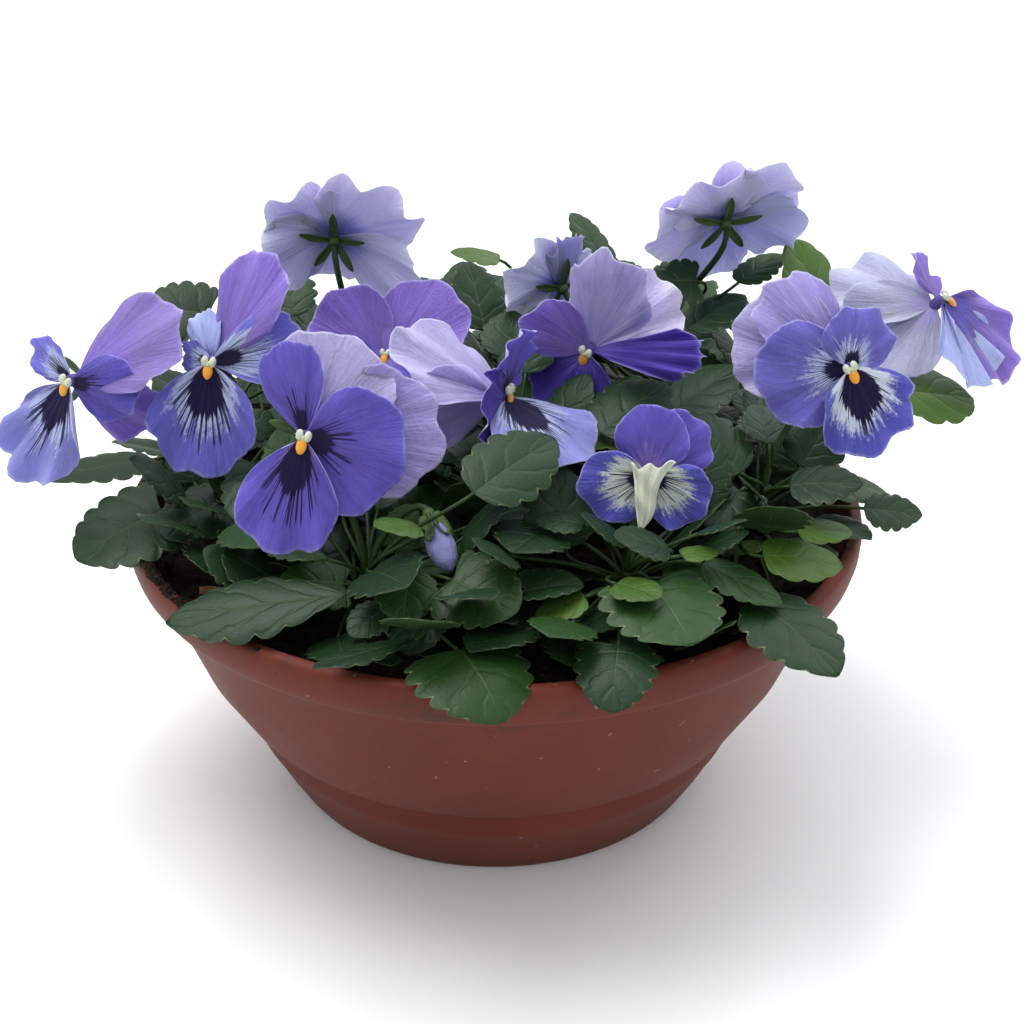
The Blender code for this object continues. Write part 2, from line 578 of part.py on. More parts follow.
def filler_leaves(draw):
    """Leaves for the gaps: spread by the golden angle, under a low dome, on the nearest stems."""
    for index in range(FILLER_TRIES):
        spread = FILLER_REACH * math.sqrt((index + 0.5) / FILLER_TRIES)
        place = direction(GOLDEN_ANGLE * index, 0) * spread
        shoot = min(SHOOTS, key=lambda each: math.dist(each.top[:2], place[:2]))
        if math.dist(shoot.top[:2], place[:2]) > FILLER_STALK:
            continue
        place[2] = max(CROWN_LEVEL - CROWN_FALL * spread**2 - draw.uniform(0, CROWN_DEPTH), FILLER_LEVEL)
        away = place[:2] - shoot.top[:2] + 0.25 * place[:2]
        azimuth = math.degrees(math.atan2(away[1], away[0])) + draw.uniform(-20, 20)
        length = draw.uniform(*FILLER_LENGTHS)
        form = draw.choice(("oval", "oval", "round", "young"))
        elevation, width = draw.uniform(0, 40), length * draw.uniform(0.75, 0.95)
        tilt, droop, fold = draw.uniform(-12, 12), draw.uniform(6, 20), draw.uniform(2, 14)
        yield Leaf(shoot.name, form, tuple(place), azimuth, elevation, length, width, tilt, droop, fold)


def grow():
    """Every bloom, calyx, stalk and leaf in its place: the plan that all the meshes are made from."""
    garden = Garden()
    garden.add("pot", "pot", *turned_surface(RIM_PROFILE))
    garden.add("soil", "soil", *turned_surface(((0.1, SOIL_CENTRE_LEVEL + 1.5), (80, SOIL_CENTRE_LEVEL),
                                                (131, SOIL_EDGE_LEVEL + 1.5))))
    shoots = {shoot.name: shoot for shoot in SHOOTS}
    for bud in BUDS:
        reach = direction(bud.azimuth, bud.elevation) * bud.length
        garden.add(bud.name, "bud", *tube([np.array(bud.at), bud.at + reach], bud.radius, 6))
    for bloom in BLOOMS:
        for spec in bloom.petals:
            garden.add(bloom.name, "petal", *thickened(*petal_sheet(bloom, spec), PETAL_THICKNESS / 2))
    for shoot in SHOOTS:
        garden.add(shoot.name, "stem", *tube(stem_path(shoot)[2:], STEM_RADIUS, 6))

    stalks, sepals = {}, {}
    for flower in BLOOMS + BUDS:
        shoot = shoots[flower.shoot]
        for sideways, hook in STALK_WAYS:
            path = flower_stalk_path(shoot, flower, sideways, hook)
            if garden.tube_fits(shoot.name, path, STALK_RADIUS):
                break
        else:
            print("no clear way for the stalk of", flower.name)
        garden.add(shoot.name, "stalk", *tube(path, STALK_RADIUS, 5))
        stalks[flower.name] = path
    for bloom in BLOOMS:
        sepals[bloom.name] = []
        for turn in range(18, 378, 72):
            for lean in range(-14, -80, -6):
                sheet = sepal_sheet(bloom, turn, lean)
                if garden.sheet_fits(bloom.shoot, "calyx", sheet, LEAF_THICKNESS):
                    break
            garden.add(bloom.shoot, "calyx", *thickened(*sheet, LEAF_THICKNESS / 2))
            sepals[bloom.name].append((turn, lean))

    leaves = {shoot.name: [] for shoot in SHOOTS}
    for spec in LEAVES + list(filler_leaves(random.Random(7))):
        shoot = shoots[spec.shoot]
        found = settled_leaf(garden, shoot, spec)
        if found is None:
            print("no room for a leaf of", shoot.name, "at", [round(value) for value in spec.base])
            continue
        blade, path = found
        garden.add(shoot.name, "blade", *thickened(*leaf_sheet(blade), LEAF_THICKNESS / 2))
        garden.add(shoot.name, "stalk", *tube(path, PETIOLE_RADIUS))
        leaves[shoot.name].append((blade, path))
    print("leaves:", sum(len(kept) for kept in leaves.values()))
    return stalks, sepals, leaves


# ---------------------------------------------------------------- materials
def material(name, colour, roughness):
    made = bpy.data.materials.new(name)
    made.use_nodes = True
    shader = made.node_tree.nodes["Principled BSDF"]
    shader.inputs["Base Color"].default_value = (*colour, 1.0)
    shader.inputs["Roughness"].default_value = roughness
    shader.inputs["Metallic"].default_value = 0.0
    return made


# ---------------------------------------------------------------- making and joining objects
def add_object(name, mesh, collection):
    made = bpy.data.objects.new(name, mesh)
    collection.objects.link(made)
    return made


def mesh_of(points, faces, name):
    made = bpy.data.meshes.new(name)
    made.from_pydata((np.asarray(points) * MM).tolist(), [], faces)
    made.update()
    return made


def add_blade(sheet, thickness, collection):
    """A closed thin solid: an open sheet with Solidify."""
    made = add_object("blade", mesh_of(*sheet, "blade"), collection)
    shell = made.modifiers.new("thickness", "SOLIDIFY")
    shell.thickness = thickness * MM
    shell.offset = 0.0
    return made


def add_tube(path, radii, collection, resolution=0):
    """A closed tube: a bevelled curve made into a mesh, with its caps welded."""
    curve = bpy.data.curves.new("tube", "CURVE")
    curve.dimensions = "3D"
    curve.bevel_depth = MM
    curve.bevel_resolution = resolution
    curve.use_fill_caps = True
    line = curve.splines.new("POLY")
    line.points.add(len(path) - 1)
    swell = np.interp(np.linspace(0, 1, len(path)), np.linspace(0, 1, len(radii)), radii)
    for point, place, radius in zip(line.points, path, swell):
        point.co = (*(place * MM), 1.0)
        point.radius = radius
    guide = add_object("guide", curve, collection)
    bpy.context.view_layer.update()
    mesh = bpy.data.meshes.new_from_object(guide.evaluated_get(bpy.context.evaluated_depsgraph_get()))
    work = bmesh.new()
    work.from_mesh(mesh)
    bmesh.ops.remove_doubles(work, verts=work.verts, dist=0.00001)
    work.to_mesh(mesh)
    work.free()
    bpy.data.objects.remove(guide)
    return add_object("tube", mesh, collection)


def add_turned(profile, axis_at, out, collection, sides=8):
    """A closed turned solid: a profile of radii and places along out, capped at both ends."""
    side = unit(np.cross(out, [0.3, 0.2, 1.0]))
    rings = [np.array(axis_at) + out * z + r * turned(side, out, 360 * k / sides)
             for r, z in profile for k in range(sides)]
    work = bmesh.new()
    corners = [work.verts.new(point * MM) for point in rings]
    for ring in range(len(profile) - 1):
        for k in range(sides):
            a, b = ring * sides + k, ring * sides + (k + 1) % sides
            work.faces.new([corners[i] for i in (a, b, b + sides, a + sides)])
    work.faces.new(corners[:sides])
    work.faces.new(corners[-sides:])
    bmesh.ops.recalc_face_normals(work, faces=work.faces)
    mesh = bpy.data.meshes.new("turned")
    work.to_mesh(mesh)
    work.free()
    return add_object("turned", mesh, collection)


def largest_body(mesh):
    """The mesh without loose scraps and sealed hollows: only its largest connected surface."""
    work = bmesh.new()
    work.from_mesh(mesh)
    bmesh.ops.remove_doubles(work, verts=work.verts, dist=0.000002)
    bodies, seen = [], set()
    for corner in work.verts:
        if corner in seen:
            continue
        body, ahead = {corner}, [corner]
        while ahead:
            for edge in ahead.pop().link_edges:
                for other in edge.verts:
                    if other not in body:
                        body.add(other)
                        ahead.append(other)
        seen |= body
        bodies.append(body)
    keep = max(bodies, key=len)
    bmesh.ops.delete(work, geom=[corner for corner in work.verts if corner not in keep], context="VERTS")
    work.to_mesh(mesh)
    work.free()
    return mesh


def join(core, pieces, solver="MANIFOLD"):
    """core with a collection's objects fused into it by one Boolean union; the objects are then removed."""
    fuse = core.modifiers.new("fuse", "BOOLEAN")
    fuse.operation = "UNION"
    fuse.operand_type = "COLLECTION"
    fuse.collection = pieces
    fuse.solver = solver
    bpy.context.view_layer.update()
    mesh = bpy.data.meshes.new_from_object(core.evaluated_get(bpy.context.evaluated_depsgraph_get()))
    core.modifiers.clear()
    core.data = largest_body(mesh)
    for spent in list(pieces.objects):
        bpy.data.objects.remove(spent)
    bpy.data.collections.remove(pieces)
    return core


# ---------------------------------------------------------------- the pieces
def new_collection(name):
    made = bpy.data.collections.new(name)
    bpy.context.scene.collection.children.link(made)
    return made


def turned_object(name, profile, collection, sides):
    """A solid of revolution: a profile that starts and ends on the axis, swept with Screw."""
    edges = [(i, i + 1) for i in range(len(profile) - 1)]
    mesh = bpy.data.meshes.new(name)
    mesh.from_pydata([(r * MM, 0, z * MM) for r, z in profile], edges, [])
    made = add_object(name, mesh, collection)
    spin = made.modifiers.new("turn", "SCREW")
    spin.steps = sides
    spin.render_steps = sides
    spin.use_merge_vertices = True
    spin.merge_threshold = 0.00002
    return made


def add_cutters(name, places, radius, low, high, collection, sides=6):
    """Upright cylinders for holes, as one object."""
    work = bmesh.new()
    for x, y in places:
        ring = bmesh.ops.create_cone(work, cap_ends=True, segments=sides, radius1=radius * MM,
                                     radius2=radius * MM, depth=(high - low) * MM)
        bmesh.ops.translate(work, verts=ring["verts"], vec=(x * MM, y * MM, (low + high) / 2 * MM))
    mesh = bpy.data.meshes.new(name)
    work.to_mesh(mesh)
    work.free()
    made = add_object(name, mesh, collection)
    made.hide_render = True
    made.display_type = "WIRE"
    return made


def cut(made, cutter):
    hole = made.modifiers.new("holes", "BOOLEAN")
    hole.operation = "DIFFERENCE"
    hole.object = cutter


def make_pot(parts, cutters):
    underside = ((GROOVE_OUTER + 1, 0), (GROOVE_OUTER, GROOVE_DEPTH), (GROOVE_INNER, GROOVE_DEPTH),
                 (GROOVE_INNER - 1, 0), (0, 0))
    pot = turned_object("pot", INNER_PROFILE + OUTER_PROFILE + underside, parts, POT_SIDES)
    reach = (GROOVE_INNER + GROOVE_OUTER) / 2
    ring = [reach * direction(360 * k / DRAIN_HOLES + 30, 0)[:2] for k in range(DRAIN_HOLES)]
    cut(pot, add_cutters("drain_cutters", ring, DRAIN_RADIUS, -3, 12, cutters))
    return pot


def soil_profile():
    """The compost's section: level with the collar's foot, and a hair clear of the bowl all the way down."""
    wall = [(r - SOIL_GAP, z + SOIL_GAP) for r, z in (INNER_PROFILE[1], *INNER_PROFILE[3:6])]
    edge = (INNER_PROFILE[6][0] - SOIL_GAP - 0.5, SOIL_EDGE_LEVEL)
    top = [(r, SOIL_CENTRE_LEVEL + (SOIL_EDGE_LEVEL - SOIL_CENTRE_LEVEL) * (r / edge[0]) ** 2)
           for r in (0, 34, 66, 98)]
    return top + [edge] + wall[::-1] + [(0, FLOOR_THICKNESS + SOIL_GAP)]


def make_soil(parts, cutters):
    soil = turned_object("soil", soil_profile(), parts, POT_SIDES)
    bpy.context.view_layer.update()
    mesh = bpy.data.meshes.new_from_object(soil.evaluated_get(bpy.context.evaluated_depsgraph_get()))
    soil.modifiers.clear()
    soil.data = mesh
    draw = random.Random(3)
    for corner in mesh.vertices:
        if corner.co.z > (SOIL_EDGE_LEVEL - 1) * MM:
            corner.co.z += draw.uniform(-1.2, 1.2) * MM
    roots = [shoot.root for shoot in SHOOTS]
    low, high = STEM_FOOT_LEVEL - 1, SOIL_CENTRE_LEVEL + 16
    cut(soil, add_cutters("stem_cutters", roots, STEM_HOLE_RADIUS, low, high, cutters, sides=7))
    return soil


def make_shoot(shoot, stalks, sepals, leaves, parts):
    """A leafy stem in one piece: stem, leaf stalks, blades, flower stalks and calyxes."""
    core = add_tube(stem_path(shoot), (STEM_RADIUS * 1.2, STEM_RADIUS, STEM_RADIUS * 0.8), parts)
    core.name = shoot.name
    pieces = new_collection(shoot.name + "_pieces")
    for blade, path in leaves:
        add_blade(leaf_sheet(blade, path), LEAF_THICKNESS, pieces)
    for flower in BLOOMS + BUDS:
        if flower.shoot != shoot.name:
            continue
        add_tube(stalks[flower.name], (STALK_RADIUS * 1.1, STALK_RADIUS), pieces)
        out = direction(flower.azimuth, flower.elevation)
        depth = calyx_depth(flower)
        cup = ((1.5, -depth - 3.2), (2.2, -depth - 1.6), (2.0, -depth))
        add_turned(cup, flower.at, out, pieces, 5)
        for turn, lean in sepals.get(flower.name, ()):
            add_blade(sepal_sheet(flower, turn, lean), LEAF_THICKNESS, pieces)
    return join(core, pieces)


def make_petals(bloom, parts):
    """A bloom's five petals, one over the other, fused at the throat."""
    out = direction(bloom.azimuth, bloom.elevation)
    back = (1.4, 0.4 - calyx_depth(bloom))
    throat = (back, (THROAT_RADIUS, 1.2 - CALYX_DEPTH), (THROAT_RADIUS - 0.3, 2.3))
    core = add_turned(throat, bloom.at, out, parts, 5)
    core.name = bloom.name
    pieces = new_collection(bloom.name + "_pieces")
    for spec in bloom.petals:
        add_blade(petal_sheet(bloom, spec), PETAL_THICKNESS, pieces)
    return join(core, pieces)


def make_eye(bloom, parts):
    """The small style in the throat, just clear of the petals and away from a lower petal that leans in."""
    right, up, out = axes_facing(bloom.azimuth, bloom.elevation)
    lower = bloom.petals[-1]
    ray = right * math.cos(math.radians(lower.turn)) + up * math.sin(math.radians(lower.turn))
    place = np.array(bloom.at) - ray * 0.05 * max(0, lower.lean - 12)
    made = add_turned(((1.3, 2.8), (0.8, 4.6)), place, out, parts, 6)
    made.name = bloom.name.replace("bloom", "eye")
    return made


def make_bud(bud, parts):
    """The furled petals of a bud, just clear of its calyx."""
    out = direction(bud.azimuth, bud.elevation)
    r, reach = bud.radius, bud.length
    furl = ((0.5 * r, -CALYX_DEPTH + 0.4), (0.95 * r, 0.1 * reach), (r, 0.45 * reach),
            (0.8 * r, 0.8 * reach), (0.25 * r, reach))
    made = add_turned(furl, bud.at, out, parts, 8)
    made.name = bud.name
    return made


def build():
    for old in list(bpy.data.objects):
        bpy.data.objects.remove(old)
    parts = new_collection("potted_pansy_planter")
    cutters = new_collection("cutters")
    root = bpy.data.objects.new("planter", None)
    parts.objects.link(root)

    plastic = material("pot plastic", (0.135, 0.030, 0.022), 0.55)
    compost = material("compost", (0.018, 0.012, 0.008), 0.95)
    green = material("leaf green", (0.030, 0.085, 0.028), 0.5)
    violet = material("petal violet", (0.19, 0.15, 0.62), 0.65)
    orange = material("eye orange", (0.85, 0.35, 0.02), 0.6)

    pieces = [(make_pot(parts, cutters), plastic), (make_soil(parts, cutters), compost)]
    stalks, sepals, leaves = grow()
    for shoot in SHOOTS:
        pieces.append((make_shoot(shoot, stalks, sepals, leaves[shoot.name], parts), green))
    for bloom in BLOOMS:
        pieces.append((make_petals(bloom, parts), violet))
        pieces.append((make_eye(bloom, parts), orange))
    for bud in BUDS:
        pieces.append((make_bud(bud, parts), violet))
    for made, paint in pieces:
        made.data.materials.clear()
        made.data.materials.append(paint)
        made.parent = root


build()
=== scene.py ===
# %% [markdown]
# # A bowl of violet-blue pansies
# A shallow planting bowl of red-brown plastic holds ten leafy pansy shoots with twelve open blooms and
# one bud. The solids of the object are loaded first. Each of them is then dressed with a finer piece of
# the same form: thin veined leaves, velvety petals with dark whiskers, crumbly compost and a stained
# plastic bowl.

# %% Load the frame
import math
import random
from collections import namedtuple

import bpy
import numpy as np
from mathutils.bvhtree import BVHTree
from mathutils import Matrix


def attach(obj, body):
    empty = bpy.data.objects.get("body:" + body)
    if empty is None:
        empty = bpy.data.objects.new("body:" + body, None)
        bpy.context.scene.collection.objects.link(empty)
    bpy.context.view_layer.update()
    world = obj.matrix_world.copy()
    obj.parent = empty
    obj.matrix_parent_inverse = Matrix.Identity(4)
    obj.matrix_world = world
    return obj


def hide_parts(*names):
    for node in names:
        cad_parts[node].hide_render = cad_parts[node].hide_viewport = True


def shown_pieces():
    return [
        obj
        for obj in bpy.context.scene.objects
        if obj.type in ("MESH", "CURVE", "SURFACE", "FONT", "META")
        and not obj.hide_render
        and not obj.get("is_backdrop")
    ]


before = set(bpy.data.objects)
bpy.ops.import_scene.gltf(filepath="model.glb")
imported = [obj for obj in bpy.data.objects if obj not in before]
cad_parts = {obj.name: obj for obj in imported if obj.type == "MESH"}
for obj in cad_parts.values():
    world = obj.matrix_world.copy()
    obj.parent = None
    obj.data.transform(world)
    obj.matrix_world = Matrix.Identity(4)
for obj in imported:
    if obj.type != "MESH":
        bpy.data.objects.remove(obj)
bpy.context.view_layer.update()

print("solids in the frame:", len(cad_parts))

# %% [markdown]
# ## Units and directions
# Plants are easiest to think about in millimetres, so every plan below is in millimetres and is scaled
# to metres when a mesh is made. A few small functions turn angles into directions and bend curves, and
# all pieces share them.

# %% Units, directions and curves
MM = 0.001


def unit(vector):
    return np.asarray(vector, float) / np.linalg.norm(vector)


def direction(azimuth, elevation):
    """The unit vector at this azimuth, anticlockwise from +X seen from above, and elevation, in degrees."""
    turn, rise = math.radians(azimuth), math.radians(elevation)
    return np.array([math.cos(rise) * math.cos(turn), math.cos(rise) * math.sin(turn), math.sin(rise)])


def turned(vector, axis, degrees):
    """vector turned about a unit axis."""
    angle = math.radians(degrees)
    spin = np.cross(axis, vector) * math.sin(angle)
    return vector * math.cos(angle) + spin + axis * np.dot(axis, vector) * (1 - math.cos(angle))


def axes_facing(azimuth, elevation):
    """Right, up and out of a face, as the viewer that it looks at sees them."""
    out = direction(azimuth, elevation)
    right = unit(np.cross([0, 0, 1], out))
    return right, np.cross(out, right), out


def ray_on_face(flower, turn):
    """The direction at this turn round a flower's face, and the direction that the face looks in."""
    right, up, out = axes_facing(flower.azimuth, flower.elevation)
    angle = math.radians(turn)
    return right * math.cos(angle) + up * math.sin(angle), out


def curved(start, leave, arrive, end, count):
    """Points on a smooth curve from start to end that leaves along one vector and arrives along another."""
    start, end = np.asarray(start, float), np.asarray(end, float)
    first, second = start + leave, end - arrive
    t = np.linspace(0, 1, count)[:, None]
    s = 1 - t
    return s**3 * start + 3 * s**2 * t * first + 3 * s * t**2 * second + t**3 * end


def bent(along, across, length, degrees):
    """Along and out-of-plane places of points on a strip whose tip has turned by this many degrees."""
    if abs(degrees) < 0.5:
        return along, across
    curl = math.radians(degrees) / length
    lift = np.sin(curl * along)
    return lift / curl - across * lift, (1 - np.cos(curl * along)) / curl + across * np.cos(curl * along)


print("one degree up from the front points to", direction(-90, 1).round(3))

# %% [markdown]
# ## Camera and stage
# The bowl is seen from in front and a little above, as a person standing over a low table sees it. A
# plain pale floor and a soft white surrounding keep all attention on the plant, and leave its deep
# shadows between the leaves.

# %% Camera
CAMERA_PLACE = (0.0, -0.622, 0.438)
CAMERA_TILT = 62
LENS, SENSOR = 63.84, 36
SIDEWAYS_SHIFT = 0.0171

camera = bpy.data.objects.new("camera", bpy.data.cameras.new("camera"))
camera.location = CAMERA_PLACE
camera.rotation_euler = (math.radians(CAMERA_TILT), 0, 0)
camera.data.lens = LENS
camera.data.sensor_width = SENSOR
camera.data.shift_x = SIDEWAYS_SHIFT
bpy.context.scene.collection.objects.link(camera)
bpy.context.scene.camera = camera
print("camera at", tuple(camera.location))

# %% Floor and light
FLOOR_SIZE = 8.0
SKY_COLOUR = (0.95, 0.98, 1.0, 1.0)
WARM_WHITE, COOL_WHITE = (1.0, 0.99, 0.97), (0.95, 0.97, 1.0)
ZENITH_LIGHT, HORIZON_LIGHT = 1.30, 0.34
HEART = (0.0, 0.0, 0.15)


def add_floor():
    half = FLOOR_SIZE / 2
    mesh = bpy.data.meshes.new("floor")
    corners = [(-half, -half, 0), (half, -half, 0), (half, half, 0), (-half, half, 0)]
    mesh.from_pydata(corners, [], [(0, 1, 2, 3)])
    floor = bpy.data.objects.new("floor", mesh)
    bpy.context.scene.collection.objects.link(floor)
    floor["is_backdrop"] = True
    return floor


def add_area_light(name, place, aim, size, power, colour):
    """A square soft light that looks from its place at a point."""
    lamp = bpy.data.lights.new(name, "AREA")
    lamp.size = size
    lamp.energy = power
    lamp.color = colour
    made = bpy.data.objects.new(name, lamp)
    made.location = place
    look = np.subtract(aim, place)
    made.rotation_euler = (math.atan2(math.hypot(look[0], look[1]), -look[2]), 0,
                           math.atan2(-look[0], look[1]))
    bpy.context.scene.collection.objects.link(made)
    return made


def add_sky():
    """A soft overcast sky: brightest overhead and dimmer towards the horizon."""
    world = bpy.data.worlds.new("soft sky")
    world.use_nodes = True
    nodes, links = world.node_tree.nodes, world.node_tree.links
    background = nodes["Background"]
    background.inputs["Color"].default_value = SKY_COLOUR
    split, fade = nodes.new("ShaderNodeSeparateXYZ"), nodes.new("ShaderNodeMapRange")
    links.new(nodes.new("ShaderNodeTexCoord").outputs["Generated"], split.inputs[0])
    links.new(split.outputs["Z"], fade.inputs["Value"])
    fade.inputs["To Min"].default_value = HORIZON_LIGHT
    fade.inputs["To Max"].default_value = ZENITH_LIGHT
    links.new(fade.outputs["Result"], background.inputs["Strength"])
    bpy.context.scene.world = world


floor = add_floor()
add_sky()
bpy.context.scene.view_settings.view_transform = "Standard"
add_area_light("skylight", (-0.45, 0.10, 1.40), HEART, size=0.9, power=14.0, colour=WARM_WHITE)
add_area_light("far side", (0.6, 0.9, 1.0), HEART, size=1.2, power=8.0, colour=COOL_WHITE)
print("lights:", [each.name for each in bpy.data.objects if each.type == "LIGHT"])

# %% [markdown]
# ## What grows in the bowl
# A pansy has five petals: two upper ones at the back, two lateral ones over them, and the lower one in
# front. Every petal is given by the direction it points in round the face, its size, how far it leans
# and curls, and how it is painted. The kinds of paint are named below: each has a ground colour, a pale
# zone near the throat, how far that zone and the dark blotch reach, and how ruffled the edge is.

# %% The kinds of petal paint
Paint = namedtuple("Paint", "ground pale pale_reach blotch whiskers frill rim")

VIOLET = (0.118, 0.092, 0.43)
DEEP_VIOLET = (0.060, 0.035, 0.30)
MAUVE = (0.225, 0.155, 0.51)
BLUE_VIOLET = (0.10, 0.10, 0.45)
LAVENDER = (0.36, 0.31, 0.62)
PALE_LAVENDER = (0.41, 0.38, 0.62)
# A lavender painted brighter: painted light on pale petals that lean back into shade.
PAINTED_LIGHT_LAVENDER = (0.66, 0.60, 0.86)
PALE_BLUE = (0.36, 0.41, 0.74)
WHITE_BLUE = (0.60, 0.64, 0.74)
CREAM = (0.66, 0.70, 0.56)

PAINTS = {
    "violet": Paint(VIOLET, VIOLET, 0.0, 0.30, 0.30, 0.8, 0.25),
    "violet_plain": Paint(VIOLET, MAUVE, 0.35, 0.0, 0.0, 0.8, 0.25),
    "mauve": Paint(MAUVE, MAUVE, 0.0, 0.0, 0.0, 0.8, 0.3),
    "mauve_fan": Paint(MAUVE, VIOLET, 0.45, 0.0, 0.0, 1.0, 0.3),
    "deep": Paint(DEEP_VIOLET, VIOLET, 0.25, 0.0, 0.0, 1.6, 0.3),
    "pale_mauve": Paint((0.21, 0.16, 0.42), MAUVE, 0.55, 0.0, 0.0, 1.0, 0.3),
    "sky_back": Paint((0.74, 0.75, 0.92), (0.42, 0.42, 0.74), 0.35, 0.0, 0.0, 1.4, 0.1),
    "lavender": Paint(LAVENDER, MAUVE, 0.30, 0.0, 0.0, 1.1, 0.3),
    "pale": Paint(PALE_LAVENDER, LAVENDER, 0.35, 0.0, 0.0, 1.2, 0.2),
    "pale_blue": Paint(PALE_BLUE, VIOLET, 0.25, 0.0, 0.0, 1.1, 0.3),
    "white_fan": Paint((0.38, 0.38, 0.52), LAVENDER, 0.25, 0.0, 0.0, 1.2, 0.2),
    "blue_lip": Paint((0.20, 0.205, 0.48), (0.42, 0.46, 0.71), 0.60, 0.50, 0.35, 1.4, 0.3),
    # Pale lavender petals painted brighter, as painted light where they would lie in shade.
    "bright": Paint(PAINTED_LIGHT_LAVENDER, LAVENDER, 0.25, 0.0, 0.0, 1.2, 0.2),
    "violet_lip": Paint(VIOLET, MAUVE, 0.30, 0.50, 0.34, 0.9, 0.3),
    "pale_lip": Paint((0.135, 0.125, 0.47), (0.46, 0.50, 0.72), 0.60, 0.50, 0.34, 1.3, 0.3),
    "pale_wing": Paint((0.16, 0.15, 0.52), (0.44, 0.49, 0.74), 0.62, 0.34, 0.32, 1.0, 0.3),
    "white_wing": Paint(BLUE_VIOLET, (0.60, 0.64, 0.60), 0.66, 0.30, 0.36, 0.9, 0.5),
    "white_lip": Paint(BLUE_VIOLET, WHITE_BLUE, 0.66, 0.60, 0.18, 1.8, 0.55),
    "mixed_wing": Paint((0.165, 0.145, 0.50), (0.48, 0.52, 0.76), 0.42, 0.26, 0.24, 1.2, 0.4),
    "cream_lip": Paint(CREAM, CREAM, 0.0, 0.0, 0.0, 0.3, 0.2),
}
print("kinds of paint:", len(PAINTS))

# %% The plan's words
Petal = namedtuple("Petal", "role turn length width lean roll bend cup wave waves phase paint")
Bloom = namedtuple("Bloom", "name shoot at azimuth elevation petals")
Bud = namedtuple("Bud", "name shoot at azimuth elevation length radius")
Leaf = namedtuple("Leaf", "shoot form base azimuth elevation length width tilt droop fold")
Shoot = namedtuple("Shoot", "name root top")
Form = namedtuple("Form", "blunt shift lobe teeth depth")

FORMS = {
    "round": Form(blunt=0.62, shift=0.80, lobe=0.95, teeth=7, depth=0.09),
    "oval": Form(blunt=0.70, shift=0.88, lobe=0.25, teeth=6, depth=0.09),
    "long": Form(blunt=0.75, shift=1.15, lobe=0.0, teeth=6, depth=0.11),
    "young": Form(blunt=0.60, shift=0.85, lobe=0.35, teeth=4, depth=0.07),
}


def petal(role, turn, length, width, lean=0, roll=0, bend=0, cup=0, wave=1.0, waves=3, phase=0,
          paint="violet"):
    """A petal: turn is its direction round the face, anticlockwise from the right as its viewer sees it,
    lean its angle forward out of the face, roll its twist about its midline and bend how far its tip
    curls forward."""
    return Petal(role, turn, length, width, lean, roll, bend, cup, wave, waves, phase, paint)


def leaf(shoot, form, base, azimuth, elevation, length, width, tilt=0, droop=14, fold=8):
    """A leaf: base is where its stalk meets the blade, azimuth and elevation say where its midrib points."""
    return Leaf("shoot_" + shoot, form, base, azimuth, elevation, length, width, tilt, droop, fold)


print("leaf forms:", list(FORMS))
